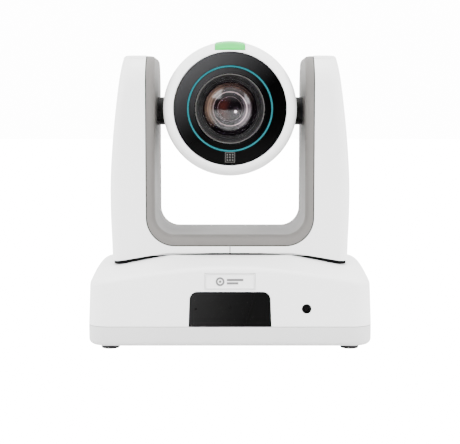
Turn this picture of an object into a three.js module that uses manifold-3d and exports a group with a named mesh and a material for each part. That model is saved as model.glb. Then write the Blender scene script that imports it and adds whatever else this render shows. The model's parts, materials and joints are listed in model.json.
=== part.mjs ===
// Pan-tilt-zoom room camera. A base with its connectors stands on four feet, a yoke pans on
// the base, and a round head with a zoom lens tilts between the arms of the yoke.
// Millimetres, +Z up, front towards -Y, origin on the pan axis at floor level.
import * as THREE from "three";
import { mergeVertices } from "three/addons/utils/BufferGeometryUtils.js";
import Module from "manifold-3d";

const kernel = await Module();
kernel.setup();

// ---------------------------------------------------------------- driving dimensions
const gap = 0.3; // clearance between pieces that seat on each other
const degree = Math.PI / 180;

const base = {
  width: 180,
  depth: 145,
  corner: 13,
  wall: 2.6,
  draft: 2.3 * degree,
  bottom: 3, // underside of the tray, which is the height of the feet
  seam: 15.6, // joint between the tray and the housing
  trayEdge: 3.5, // rounding round the underside of the tray
  deck: 57, // flat round deck that the yoke turns over
  deckRadius: 55,
  deckSlope: 13.5 * degree, // the deck falls away conically outside its flat
  shoulder: 4, // rounding between the deck and the walls
};
const foot = { radius: 6, chamfer: 0.7, insetX: 13.6, insetY: 13 };
const tripod = { bore: 2.6, radius: 6, height: 9, bossWall: 3 };
const irWindow = {
  halfFoot: 25.85,
  halfTop: 25,
  height: 21.6,
  corner: 4.5,
  thickness: 2.2,
  setBack: 0.1,
};
// heights of the fittings are counted up from the joint line
const badge = { width: 31.5, height: 10, rise: 28.6, thickness: 0.8, proud: 0.3 };
const microphone = { x: 48.1, rise: 11.4, bore: 2.3, radius: 2.9, depth: 3.2, recess: 0.9 };
const capsule = { sides: 20, behind: 2 };
const statusLight = { x: -21.5, rise: 11.2, radius: 1.2, length: 6 };
const receiver = { rise: 12.3, width: 6, height: 7, depth: 4, lens: 2, nose: 1 };

const pan = {
  shaft: 14,
  bore: 8,
  flange: 28,
  bearingRadius: 22,
  bearingHeight: 11,
  pulley: 30,
  pulleyDrop: 24, // from the deck down to the underside of the driven wheel
  shaftLength: 31,
  nutHeight: 4,
  nutRadius: 19,
  motorX: -47,
  motorY: -24,
  motorPulley: 8,
};
const pulley = { width: 6, rim: 0.8, lip: 1.6, beltSlack: 0.6 };
const belt = { thickness: 1.2 };
const panMotor = { side: 35, shaft: 2.5, stub: 2 };
const board = { thickness: 1.6, rise: 4.4, width: 146, depth: 41, behind: 9.5 };
const post = { radius: 3.5, insetX: 8, insetY: 6, sides: 12 };
const rearPanel = { width: 134, rise: 1.9, height: 24, lip: 3, thickness: 1.5 };

const yoke = {
  deckGap: 1, // between the deck and the underside of the yoke
  depth: 80,
  edge: 8, // rounding of the upright edges
  wall: 2.5,
  motorRoom: 1.7, // between the tilt motor and the cover's wall
  bellyBelowAxis: 52.5,
  topDraw: 8.8, // how far the arms draw in from the belly to the top
  footDraw: 1.3,
  topSweep: 1.6, // how late the arms draw in towards the top
  bridge: 4.9, // from the underside up to the seam of the liner
  topAboveAxis: 36,
  crown: 20, // the front and back faces lean in over the top by this arc
  cap: 2.5, // rounding round the very top
  flatRadius: 57,
  slope: 11.5 * degree, // underside rises over the conical deck
};
const liner = {
  lip: 5.7, // how far the inner face stands inside the seam
  bevel: 6.5, // depth of the rounded edge behind the seam
  seamEdge: 0.5,
  headRoom: 36.8, // under the head, for its front and back as it tilts
  floorLip: 7.2,
  corner: 13,
  plate: 2.2,
  topCorner: 3,
};
const frame = { plate: 2, clearance: 1, depth: 40, floorDepth: 56, aboveAxis: 17, lift: 0.72 };
const armBoard = { behind: 3, inset: 3, belowAxis: 20, height: 50 };

const head = {
  diameter: 88,
  sideGap: 5, // between the head and the arms
  wall: 2.2,
  front: 46,
  bezelSeam: 24,
  rim: 7.9, // from the front panel out to the side of the head
  nose: 2.4, // rounding of the bezel's front
  noseLean: 0.4,
  rearSeam: -18,
  rear: -50,
  rearRadius: 30,
  rearNose: 2,
  opticalRise: 1.2, // the lens axis is a little above the tilt axis
};
const hub = { radius: 9.4, flange: 12, flangeThickness: 2.6, shaft: 4, sleeve: 6, sleeveBore: 4 };
const tilt = {
  pulley: 22,
  motorPulley: 6,
  motorDrop: 52,
  clearance: 2.8, // between the liner and the driven wheel
  bearing: 11,
  bearingWidth: 4,
  shaftEnd: 2,
};
const tiltMotor = { side: 35, thickness: 11, shaft: 2.5 };

const panel = { thickness: 2, recess: 0.8 };
const bezel = { lip: 1, lipDepth: 6, shoulder: 11, rimGap: 0.9 };
const lightRing = { outside: 4.2, width: 1.05, depth: 0.7 }; // outside the barrel
const lamp = { width: 19, abovePanel: 1.4, setBack: 0.6, proud: 0.4, thickness: 2 };
const slot = { count: 5, pitch: 6, height: 2, width: 28 };
const carriage = { radius: 13.8, bore: 10.4, length: 7, clearance: 0.4 };
const barrel = { radius: 22.3, rim: 0.9, setBack: 1, rear: -8, wall: 1.6, step: 1, flare: 2 };
const frontLens = { edgeFront: 3, edgeRear: 6, apex: 0.6 }; // behind the barrel's front
const lensShape = { edge: 0.8, crown: 2.2 };
const zoom = { front: 18, lens: 9.9 };
const focus = { front: 2, lens: 8.2 };
const sensorBoard = { side: 34, thickness: 1.6, behind: 3 };
const sensor = { width: 9, height: 7, thickness: 1.5 };
const heatSink = { side: 32, base: 2, finHeight: 8, fin: 1.6, fins: 7 };
const lensMotor = { radius: 4, length: 16, clearance: 0.6, ahead: 2 };

// sides of the polygons that stand for circles
const sides = { large: 36, medium: 24, small: 16 };

// ---------------------------------------------------------------- derived sizes
const boardZ = base.seam + board.rise;
const boardHalf = board.width / 2;
const boardRear = base.depth / 2 - board.behind;
const boardFront = boardRear - board.depth;
const panelHalf = rearPanel.width / 2;
const panelBottom = base.seam + rearPanel.rise;
const pulleyBottom = base.deck - pan.pulleyDrop;
const yokeBottom = base.deck + yoke.deckGap;
const innerHalf = head.diameter / 2 + head.sideGap;
const seamX = innerHalf + liner.lip;
const seamZ = yokeBottom + yoke.bridge;
const linerFloor = seamZ + liner.floorLip;
const tiltHeight = linerFloor + liner.headRoom + head.diameter / 2;
const yokeTop = tiltHeight + yoke.topAboveAxis;
const bellyZ = tiltHeight - yoke.bellyBelowAxis;
const pulleyX = innerHalf + liner.plate + tilt.clearance;
const frameX = pulleyX + pulley.width + frame.clearance;
const motorX = frameX + frame.plate + gap;
const bellyHalf = motorX + tiltMotor.thickness + yoke.motorRoom + yoke.wall;
const panelRadius = head.diameter / 2 - head.rim;
const panelBore = barrel.radius + gap;
const ringInner = barrel.radius + lightRing.outside;
const ringOuter = ringInner + lightRing.width;
const barrelBore = carriage.radius + carriage.clearance;
const barrelFront = head.front - barrel.setBack;

// ---------------------------------------------------------------- finishes
function finish(color, roughness, metalness = 0) {
  return new THREE.MeshStandardMaterial({ color, roughness, metalness });
}
const finishes = {
  whiteShell: finish(0xe6e6e6, 0.35),
  tray: finish(0xdadada, 0.4),
  silverLiner: finish(0xb4b0a8, 0.4, 0.2),
  blackPlastic: finish(0x151515, 0.45),
  blackGloss: finish(0x08080a, 0.08),
  rubber: finish(0x1a1a1a, 0.85),
  steel: finish(0x9fa3a6, 0.35, 0.9),
  brass: finish(0xb59a55, 0.35, 0.9),
  aluminium: finish(0xbfc3c6, 0.4, 0.9),
  circuitBoard: finish(0x1f5a33, 0.6),
  motorBody: finish(0x2b2c30, 0.5, 0.5),
  cyanLight: finish(0x46bfcb, 0.3),
  greenLight: finish(0x7cf296, 0.3),
  redLight: finish(0x7a1a1a, 0.3),
  glass: finish(0x1c1a2a, 0.05),
};

// ---------------------------------------------------------------- solids
const mergeTolerance = 1e-4;

/** Merges shared corners, drops slivers and turns the faces outwards. */
function closed(geometry) {
  const bare = new THREE.BufferGeometry();
  bare.setAttribute("position", geometry.getAttribute("position").clone());
  if (geometry.index) bare.setIndex(geometry.index.clone());
  const merged = mergeVertices(bare, mergeTolerance);
  const source = merged.index.array;
  const corner = (i) => new THREE.Vector3().fromBufferAttribute(merged.attributes.position, i);
  const kept = [];
  let volume = 0;
  for (let i = 0; i < source.length; i += 3) {
    const [a, b, c] = [source[i], source[i + 1], source[i + 2]];
    if (a === b || b === c || c === a) continue;
    kept.push(a, b, c);
    volume += corner(a).dot(corner(b).cross(corner(c)));
  }
  merged.setIndex(volume < 0 ? kept.reverse() : kept);
  return merged;
}

function toSolid(geometry) {
  const mesh = closed(geometry);
  return new kernel.Manifold(new kernel.Mesh({
    numProp: 3,
    vertProperties: Float32Array.from(mesh.attributes.position.array),
    triVerts: Uint32Array.from(mesh.index.array),
  }));
}

function toGeometry(solid) {
  const mesh = solid.getMesh();
  const stride = mesh.numProp;
  const corners = new Float32Array((mesh.vertProperties.length / stride) * 3);
  for (let i = 0; i < corners.length / 3; i++) {
    corners.set(mesh.vertProperties.slice(i * stride, i * stride + 3), i * 3);
  }
  const geometry = new THREE.BufferGeometry();
  geometry.setAttribute("position", new THREE.BufferAttribute(corners, 3));
  geometry.setIndex(new THREE.BufferAttribute(Uint32Array.from(mesh.triVerts), 1));
  return geometry;
}

function cut(solid, ...tools) {
  return tools.reduce((rest, tool) => rest.subtract(tool), solid);
}

function join(solid, ...others) {
  return others.reduce((whole, other) => whole.add(other), solid);
}

/** A box from its lowest to its highest corner. */
function block(low, high) {
  const size = high.map((value, axis) => value - low[axis]);
  const geometry = new THREE.BoxGeometry(...size);
  return geometry.translate(...low.map((value, axis) => value + size[axis] / 2));
}

/** A solid of revolution about +Y from a profile of [radius, height] points. */
function turned(profile, segments = sides.small) {
  const onAxis = profile[0][0] === 0;
  const points = profile.map(([radius, height]) => new THREE.Vector2(radius, height));
  if (!onAxis) points.push(points[0].clone());
  return new THREE.LatheGeometry(points, segments);
}

/** The same, standing on +Z. */
function turnedUp(profile, segments) {
  return turned(profile, segments).rotateX(Math.PI / 2);
}

/** The same, lying along +X. */
function turnedAcross(profile, segments) {
  return turned(profile, segments).rotateZ(-Math.PI / 2);
}

/** Profile of a plain ring or, with no bore, of a disc. */
function ringProfile(bore, radius, low, high) {
  return [[bore, low], [radius, low], [radius, high], [bore, high]];
}

/** A cylinder along +Z, +X or +Y. */
function rod(axis, radius, low, high, segments = sides.small) {
  const along = { x: turnedAcross, y: turned, z: turnedUp }[axis];
  return along(ringProfile(0, radius, low, high), segments);
}

/** A shape drawn as seen from the front, [x, z], made into a prism from y = near to y = far. */
function frontPrism(shape, near, far) {
  const geometry = new THREE.ExtrudeGeometry(shape, { depth: far - near, bevelEnabled: false });
  return geometry.rotateX(Math.PI / 2).translate(0, far, 0);
}

/** Rings of corners, joined side by side and closed with a fan at each end. */
function stacked(rings) {
  const count = rings[0].length;
  const corners = rings.flat();
  const faces = [];
  for (let ring = 0; ring + 1 < rings.length; ring++) {
    for (let i = 0; i < count; i++) {
      const a = ring * count + i;
      const b = ring * count + (i + 1) % count;
      faces.push(a, b, b + count, a, b + count, a + count);
    }
  }
  const first = corners.push(middle(rings[0])) - 1;
  const last = corners.push(middle(rings[rings.length - 1])) - 1;
  const end = (rings.length - 1) * count;
  for (let i = 0; i < count; i++) {
    const next = (i + 1) % count;
    faces.push(first, next, i, last, end + i, end + next);
  }
  const geometry = new THREE.BufferGeometry();
  geometry.setAttribute("position", new THREE.Float32BufferAttribute(corners.flat(), 3));
  geometry.setIndex(faces);
  return geometry;
}

function middle(ring) {
  const sum = ring.reduce((total, corner) => total.map((value, axis) => value + corner[axis]));
  return sum.map((value) => value / ring.length);
}

/** Corners of a rounded rectangle, anticlockwise, each with the direction it faces. */
function roundedOutline(halfX, halfY, radius, { arc = 4, alongX = 1, alongY = 1 } = {}) {
  const quadrants = [[1, 1], [-1, 1], [-1, -1], [1, -1]];
  const arcs = quadrants.map(([signX, signY], quadrant) => {
    const points = [];
    for (let step = 0; step <= arc; step++) {
      const angle = (quadrant + step / arc) * Math.PI / 2;
      const facing = { nx: Math.cos(angle), ny: Math.sin(angle) };
      const x = signX * (halfX - radius) + radius * facing.nx;
      const y = signY * (halfY - radius) + radius * facing.ny;
      points.push({ x, y, ...facing });
    }
    return points;
  });
  return arcs.flatMap((points, quadrant) => {
    const from = points[arc];
    const to = arcs[(quadrant + 1) % arcs.length][0];
    const steps = quadrant % 2 === 0 ? alongX : alongY;
    const side = [];
    for (let step = 1; step < steps; step++) {
      const share = step / steps;
      const x = from.x + (to.x - from.x) * share;
      side.push({ ...from, x, y: from.y + (to.y - from.y) * share });
    }
    return [...points, ...side];
  });
}

/** Points of a curve from one [radius, height] to another, pulled towards a third. */
function curve(from, pull, to, steps = 6) {
  const points = [from, pull, to].map(([x, y]) => new THREE.Vector2(x, y));
  return new THREE.QuadraticBezierCurve(...points).getPoints(steps).map(({ x, y }) => [x, y]);
}

// ---------------------------------------------------------------- scene graph
const camera = new THREE.Group();
const headGroup = new THREE.Group();
headGroup.position.z = tiltHeight;
const opticsGroup = new THREE.Group(); // +Y looks out of the lens, +Z stays up
opticsGroup.position.z = head.opticalRise;
opticsGroup.rotation.z = Math.PI;
headGroup.add(opticsGroup);
camera.add(headGroup);

function place(name, geometry, material, parent = camera) {
  const mesh = new THREE.Mesh(closed(geometry), material);
  mesh.name = name;
  parent.add(mesh);
  return mesh;
}

function placeSolid(name, solid, material, parent = camera) {
  return place(name, toGeometry(solid), material, parent);
}

// ---------------------------------------------------------------- base
const outlineSteps = { arc: 4, alongX: 6, alongY: 4 };

function baseOutline(inset) {
  const halfX = base.width / 2 - inset;
  const halfY = base.depth / 2 - inset;
  return roundedOutline(halfX, halfY, base.corner - inset, outlineSteps);
}

function movedIn(point, inward, height) {
  return [point.x - point.nx * inward, point.y - point.ny * inward, height];
}

/** A point on the rounding between the wall and the conical deck, from share 0 to 1. */
function shoulderPoint(point, share, inset) {
  const reach = Math.hypot(point.x, point.y);
  const facing = (point.x * point.nx + point.y * point.ny) / reach;
  const lean = Math.tan(base.draft);
  const fall = Math.tan(base.deckSlope);
  const rise = fall * facing; // how fast the deck rises, going straight in from the wall
  const edge = base.deck - inset - fall * (reach - base.deckRadius);
  const radius = base.shoulder - inset;
  const wallStretch = Math.hypot(1, lean);
  const deckStretch = Math.hypot(1, rise);
  const drop = edge - radius * deckStretch - base.seam;
  const inward = (lean * drop + radius * wallStretch) / (1 - lean * rise);
  const height = edge + rise * inward - radius * deckStretch;
  const wallAngle = Math.atan2(lean, -1);
  const deckAngle = Math.atan2(1, -rise);
  const angle = wallAngle + (deckAngle - wallAngle) * share;
  return movedIn(point, inward + radius * Math.cos(angle), height + radius * Math.sin(angle));
}

/** The housing's outer skin, or its inner one when inset by the wall. */
function housingSkin(inset, floor) {
  const outline = baseOutline(inset);
  const lean = Math.tan(base.draft) * (floor - base.seam);
  const steps = 4;
  const rings = [outline.map((point) => movedIn(point, lean, floor))];
  for (let step = 0; step <= steps; step++) {
    rings.push(outline.map((point) => shoulderPoint(point, step / steps, inset)));
  }
  const deckRing = rings[rings.length - 1].map(([x, y]) => {
    const scale = base.deckRadius / Math.hypot(x, y);
    return [x * scale, y * scale, base.deck - inset];
  });
  return toSolid(stacked([...rings, deckRing]));
}

/** The infrared window, as seen from the front, with its foot on the joint line. */
function windowShape(clearance) {
  const foot = irWindow.halfFoot + clearance;
  const top = irWindow.halfTop + clearance;
  const radius = irWindow.corner;
  const height = irWindow.height + clearance;
  const shape = new THREE.Shape();
  shape.moveTo(-foot, 0);
  shape.lineTo(foot, 0);
  shape.lineTo(top, height - radius);
  shape.absarc(top - radius, height - radius, radius, 0, Math.PI / 2, false);
  shape.lineTo(-top + radius, height);
  shape.absarc(-top + radius, height - radius, radius, Math.PI / 2, Math.PI, false);
  shape.closePath();
  return shape;
}

/** Anything let into the leaning front wall is drawn upright and then leant back with it. */
function onFrontWall(geometry, foot = base.seam) {
  return geometry.rotateX(-base.draft).translate(0, -base.depth / 2, foot);
}

function frontWallY(z) {
  return -base.depth / 2 + Math.tan(base.draft) * (z - base.seam);
}

const sockets = [
  { name: "power_socket", x: -53, width: 9, height: 11, depth: 14, bore: 3.2, pin: 1 },
  { name: "video_socket", x: -34, width: 15, height: 6.4, depth: 12, tongue: true },
  { name: "data_socket", x: -13, width: 13.4, height: 7, depth: 14, tongue: true },
  { name: "network_socket", x: 11, width: 16, height: 13.2, depth: 18 },
  { name: "serial_socket", x: 35, width: 14, height: 13, depth: 12, bore: 4.4, pin: 1.2 },
  { name: "audio_socket", x: 54, width: 9, height: 9, depth: 12, bore: 2.3 },
];
const socketWall = 1;
const socketProud = 1;
const tongueGap = 1.2;
const panelRear = base.depth / 2 - base.wall - gap
  - Math.tan(base.draft) * (rearPanel.rise + rearPanel.height);
const socketMouth = panelRear + socketProud;
const socketFoot = boardZ + board.thickness + gap;

function socketBlock({ x, width, height, depth }, clearance = 0) {
  const half = width / 2 + clearance;
  const low = [x - half, socketMouth - depth, socketFoot - clearance];
  const high = [x + half, socketMouth + clearance, socketFoot + height + clearance];
  return toSolid(block(low, high));
}

function socketSolid(socket) {
  const { x, width, height, depth, bore, pin, tongue } = socket;
  const middleZ = socketFoot + height / 2;
  const floorY = socketMouth - depth + 2 * socketWall;
  let body = socketBlock(socket);
  if (bore) {
    const hole = rod("y", bore, floorY, socketMouth + 1).translate(x, 0, middleZ);
    body = cut(body, toSolid(hole));
  } else {
    const half = width / 2 - socketWall;
    const low = [x - half, floorY, socketFoot + socketWall];
    const high = [x + half, socketMouth + 1, socketFoot + height - socketWall];
    body = cut(body, toSolid(block(low, high)));
  }
  if (pin) {
    const centrePin = rod("y", pin, floorY - socketWall, socketMouth - 1, 16);
    body = join(body, toSolid(centrePin.translate(x, 0, middleZ)));
  }
  if (tongue) {
    const half = width / 2 - socketWall - tongueGap;
    const low = [x - half, floorY - socketWall, middleZ - socketWall / 2];
    body = join(body, toSolid(block(low, [x + half, socketMouth - 1, middleZ + socketWall / 2])));
  }
  return body;
}

function rearOpening(lip, near, far) {
  const half = panelHalf - lip;
  const low = [-half, near, panelBottom + lip];
  return toSolid(block(low, [half, far, panelBottom + rearPanel.height - lip]));
}

function badgeBlock(clearance, depth, proud) {
  const half = badge.width / 2 + clearance;
  const high = badge.height / 2 + clearance;
  const plate = block([-half, -proud, -high], [half, depth, high]);
  return onFrontWall(plate.translate(0, 0, badge.rise));
}

function makeHousing() {
  const port = rod("y", microphone.radius + gap, -base.depth, -base.depth / 4);
  const skin = housingSkin(0, base.seam + gap / 2);
  const hollow = housingSkin(base.wall, base.seam - 1);
  const windowCut = onFrontWall(frontPrism(windowShape(gap), -base.wall, 2 * base.wall));
  placeSolid("base_housing", cut(
    skin,
    hollow,
    toSolid(windowCut),
    toSolid(port.translate(microphone.x, 0, base.seam + microphone.rise)),
    toSolid(badgeBlock(gap, badge.thickness, 1)),
    toSolid(rod("z", pan.shaft + gap, 0, base.deck + 1, sides.medium)),
    rearOpening(rearPanel.lip, base.depth / 4, base.depth),
  ), finishes.whiteShell);
}

function traySkin(inset, top) {
  const steps = 4;
  const floor = base.bottom + inset;
  const edge = base.trayEdge - inset;
  const rings = [];
  for (let step = 0; step <= steps; step++) {
    const angle = (step / steps) * Math.PI / 2;
    const inward = edge * (1 - Math.sin(angle));
    const height = floor + edge * (1 - Math.cos(angle));
    rings.push(baseOutline(inset).map((point) => movedIn(point, inward, height)));
  }
  rings.push(baseOutline(inset).map((point) => movedIn(point, 0, top)));
  return toSolid(stacked(rings));
}

function makeTray() {
  const top = base.seam - gap / 2;
  const floorTop = base.bottom + base.wall;
  const boss = tripod.radius + tripod.bossWall;
  const postX = boardHalf - post.insetX;
  const posts = [-1, 1].flatMap((side) => [boardFront + post.insetY, boardRear - post.insetY].map((y) => {
    const column = rod("z", post.radius, floorTop - 1, boardZ - gap, post.sides);
    return toSolid(column.translate(side * postX, y, 0));
  }));
  const column = toSolid(rod("z", boss, floorTop - 1, base.bottom + tripod.height + tripod.bossWall));
  const socket = toSolid(rod("z", tripod.radius + gap, 0, base.bottom + tripod.height + gap));
  const shell = cut(traySkin(0, top), traySkin(base.wall, top + 1));
  placeSolid("base_tray", cut(join(shell, column, ...posts), socket), finishes.tray);
}

function makeFeet() {
  const low = foot.radius - foot.chamfer;
  const profile = [[0, 0], [low, 0], [foot.radius, foot.chamfer], [foot.radius, base.bottom - gap]];
  profile.push([0, base.bottom - gap]);
  for (const [side, x] of [["left", -1], ["right", 1]]) {
    for (const [end, y] of [["front", -1], ["rear", 1]]) {
      const pad = place(`foot_${end}_${side}`, turnedUp(profile, sides.small), finishes.rubber);
      pad.position.x = x * (base.width / 2 - foot.insetX);
      pad.position.y = y * (base.depth / 2 - foot.insetY);
    }
  }
}

function makeFrontFittings() {
  const behind = irWindow.thickness;
  const pane = frontPrism(windowShape(0), irWindow.setBack, behind);
  const windowPlate = onFrontWall(pane.translate(0, 0, gap));
  place("infrared_window", windowPlate, finishes.blackGloss);
  place("name_badge", badgeBlock(0, badge.thickness - gap, badge.proud), finishes.whiteShell);

  const eyeZ = base.seam + receiver.rise;
  const eyeY = frontWallY(eyeZ) + behind + 2 * gap;
  const eye = block([-receiver.width / 2, eyeY + receiver.nose, -receiver.height / 2],
    [receiver.width / 2, eyeY + receiver.depth, receiver.height / 2]);
  const dome = rod("y", receiver.lens, eyeY, eyeY + 1.5 * receiver.nose);
  place("infrared_receiver", toGeometry(join(toSolid(eye), toSolid(dome))), finishes.blackPlastic)
    .position.z = eyeZ;

  const lightZ = base.seam + statusLight.rise;
  const lightY = frontWallY(lightZ) + behind + 2 * gap;
  const light = rod("y", statusLight.radius, lightY, lightY + statusLight.length);
  place("status_light", light, finishes.redLight).position.set(statusLight.x, 0, lightZ);

  const portZ = base.seam + microphone.rise;
  const portY = frontWallY(portZ);
  const rear = portY + microphone.depth;
  const bush = turned(ringProfile(microphone.bore, microphone.radius, portY + 0.2, rear), sides.small);
  place("microphone_bush", bush, finishes.blackPlastic).position.set(microphone.x, 0, portZ);
  const front = portY + microphone.recess;
  const can = rod("y", microphone.bore - gap, front, rear + capsule.behind, capsule.sides);
  place("microphone_capsule", can, finishes.steel).position.set(microphone.x, 0, portZ);
}

function makeRearPanel() {
  const plate = rearOpening(0, panelRear - rearPanel.thickness, panelRear);
  const holes = sockets.map((socket) => socketBlock(socket, gap));
  placeSolid("rear_panel", cut(plate, ...holes), finishes.blackPlastic);
  for (const socket of sockets) {
    placeSolid(socket.name, socketSolid(socket), finishes.steel);
  }
  const low = [-boardHalf, boardFront, boardZ];
  const card = block(low, [boardHalf, boardRear, boardZ + board.thickness]);
  place("main_board", card, finishes.circuitBoard);
}

function makeTripodInsert() {
  const profile = ringProfile(tripod.bore, tripod.radius, base.bottom, base.bottom + tripod.height);
  place("tripod_insert", turnedUp(profile, sides.small), finishes.brass);
}

// ---------------------------------------------------------------- drives
/** A flanged belt wheel from 0 to the pulley width, with a bore or a solid middle. */
function pulleyProfile(bore, radius) {
  const rim = radius + pulley.lip;
  return [
    [bore, 0], [rim, 0], [rim, pulley.rim], [radius, pulley.rim],
    [radius, pulley.width - pulley.rim], [rim, pulley.width - pulley.rim],
    [rim, pulley.width], [bore, pulley.width],
  ];
}

/** The outline round two belt wheels, the first at the middle and the second along +X. */
function beltOutline(Path, first, second, distance) {
  const path = new Path();
  const lean = Math.acos((first - second) / distance);
  path.absarc(0, 0, first, lean, 2 * Math.PI - lean, false);
  path.absarc(distance, 0, second, -lean, lean, false);
  path.closePath();
  return path;
}

/** A belt round two wheels, lying in the XY plane from z = 0 up. */
function beltLoop(first, second, distance) {
  const inside = pulley.beltSlack / 2;
  const outside = inside + belt.thickness;
  const shape = beltOutline(THREE.Shape, first + outside, second + outside, distance);
  shape.holes.push(beltOutline(THREE.Path, first + inside, second + inside, distance));
  const depth = pulley.width - 2 * pulley.rim - 2 * gap;
  return new THREE.ExtrudeGeometry(shape, { depth, bevelEnabled: false, curveSegments: 9 });
}

function makePanDrive() {
  const bearingTop = base.deck - base.wall - gap;
  const bearingFoot = bearingTop - pan.bearingHeight;
  const ring = ringProfile(pan.shaft + gap, pan.bearingRadius, bearingFoot, bearingTop);
  place("pan_bearing", turnedUp(ring, sides.medium), finishes.steel);

  const motorTop = pulleyBottom - panMotor.stub;
  const half = panMotor.side / 2;
  const can = block([-half, -half, base.bottom + base.wall + gap], [half, half, motorTop]);
  place("pan_motor", can, finishes.motorBody).position.set(pan.motorX, pan.motorY, 0);

  const wheel = pulleyProfile(0, pan.motorPulley).map(([r, z]) => [r, z + pulleyBottom]);
  const shaft = panMotor.shaft;
  const stub = [[0, motorTop + gap], [shaft, motorTop + gap], [shaft, pulleyBottom]];
  place("pan_motor_pulley", turnedUp([...stub, ...wheel.slice(1)], sides.small), finishes.brass)
    .position.set(pan.motorX, pan.motorY, 0);

  const distance = Math.hypot(pan.motorX, pan.motorY);
  const loop = beltLoop(pan.pulley, pan.motorPulley, distance);
  loop.rotateZ(Math.atan2(pan.motorY, pan.motorX));
  place("pan_belt", loop, finishes.rubber).position.z = pulleyBottom + pulley.rim + gap;
}

function makeTurntable() {
  const flangeTop = yokeBottom + yoke.wall + gap;
  const shaftEnd = base.deck - pan.shaftLength;
  const profile = [
    [pan.bore, shaftEnd], [pan.shaft, shaftEnd], [pan.shaft, base.deck + 2 * gap],
    [pan.flange, base.deck + 2 * gap], [pan.flange, flangeTop], [pan.bore, flangeTop],
  ];
  place("pan_turntable", turnedUp(profile, sides.medium), finishes.aluminium);

  const wheel = turnedUp(pulleyProfile(pan.shaft + gap, pan.pulley), sides.medium);
  place("pan_driven_pulley", wheel, finishes.blackPlastic).position.z = pulleyBottom;

  const nutTop = pulleyBottom - gap;
  const nutBottom = nutTop - pan.nutHeight;
  const hexagon = toSolid(rod("z", pan.nutRadius, nutBottom, nutTop, 6));
  const bore = toSolid(rod("z", pan.shaft + gap, nutBottom - 1, nutTop + 1, sides.medium));
  placeSolid("pan_shaft_nut", cut(hexagon, bore), finishes.brass);
}

// ---------------------------------------------------------------- yoke
const crownStart = yokeTop - yoke.crown;

/** Half the depth of the yoke at a height, less an inset. */
function halfDepth(z, inset = 0) {
  const above = Math.max(0, z - crownStart);
  const radius = yoke.crown - inset;
  const lean = radius - Math.sqrt(Math.max(0, radius ** 2 - above ** 2));
  return yoke.depth / 2 - inset - lean;
}

/** Half the width of the yoke at a height: widest at the belly, in towards the top and foot. */
function halfWidth(z) {
  if (z >= bellyZ) {
    const share = (z - bellyZ) / (yokeTop - bellyZ);
    return bellyHalf - yoke.topDraw * share ** yoke.topSweep;
  }
  const share = (bellyZ - z) / (bellyZ - yokeBottom);
  return bellyHalf - yoke.footDraw * share ** 2;
}

/** The yoke's outer block, without its opening, or the same block inset by a wall. */
function yokeBlock(inset) {
  const top = yokeTop - inset;
  const radius = yoke.crown - inset;
  const foot = yokeBottom - yoke.edge - 2;
  const low = [0, 0.3, 0.6, 1].map((share) => foot + (bellyZ - foot) * share);
  const high = [0.25, 0.5, 0.75].map((share) => bellyZ + (crownStart - bellyZ) * share);
  const arc = [0, 18, 36, 52, 66, 78, 90].map((a) => crownStart + radius * Math.sin(a * degree));
  const rings = [...low, ...high, ...arc].map((z) => {
    const above = Math.max(0, z - (top - yoke.cap));
    const trim = yoke.cap - Math.sqrt(Math.max(0, yoke.cap ** 2 - above ** 2));
    const outline = roundedOutline(halfWidth(z) - inset - trim, halfDepth(z, inset), yoke.edge - inset);
    return outline.map(({ x, y }) => [x, y, z]);
  });
  return toSolid(stacked(rings));
}

/** Everything below the yoke's underside, raised by a given height. */
function undersideTool(raise) {
  const reach = bellyHalf + yoke.depth;
  const fall = Math.tan(yoke.slope) * (reach - yoke.flatRadius);
  const profile = [
    [0, 0], [reach, 0], [reach, yokeBottom + raise - fall],
    [yoke.flatRadius, yokeBottom + raise], [0, yokeBottom + raise],
  ];
  return toSolid(turnedUp(profile, sides.large));
}

/** The opening between the arms, as seen from the front. */
function channelShape(half, floor, corner) {
  const top = yokeTop + yoke.depth;
  const shape = new THREE.Shape();
  shape.moveTo(-half, top);
  shape.lineTo(-half, floor + corner);
  shape.absarc(-half + corner, floor + corner, corner, Math.PI, 1.5 * Math.PI, false);
  shape.lineTo(half - corner, floor);
  shape.absarc(half - corner, floor + corner, corner, 1.5 * Math.PI, 2 * Math.PI, false);
  shape.lineTo(half, top);
  shape.closePath();
  return shape;
}

const seamCorner = liner.corner + liner.lip;

function seamPrism(clearance) {
  const shape = channelShape(seamX - clearance, seamZ + clearance, seamCorner - clearance);
  return toSolid(frontPrism(shape, -yoke.depth, yoke.depth));
}

function makeYokeCovers() {
  const hollow = cut(yokeBlock(yoke.wall), undersideTool(yoke.wall));
  const flangeHole = rod("z", pan.flange + gap, 0, yokeBottom + yoke.wall + 1, sides.medium);
  const shell = cut(yokeBlock(0), hollow, seamPrism(0), undersideTool(0), toSolid(flangeHole));
  const reach = bellyHalf + yoke.depth;
  const side = block([gap / 2, -yoke.depth, 0], [reach, yoke.depth, yokeTop + yoke.depth]);
  const rightHalf = toSolid(side);
  const leftHalf = toSolid(side.clone().translate(-reach - gap / 2, 0, 0));
  placeSolid("yoke_cover_right", shell.intersect(rightHalf), finishes.whiteShell);
  placeSolid("yoke_cover_left", shell.intersect(leftHalf), finishes.whiteShell);
}

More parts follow.
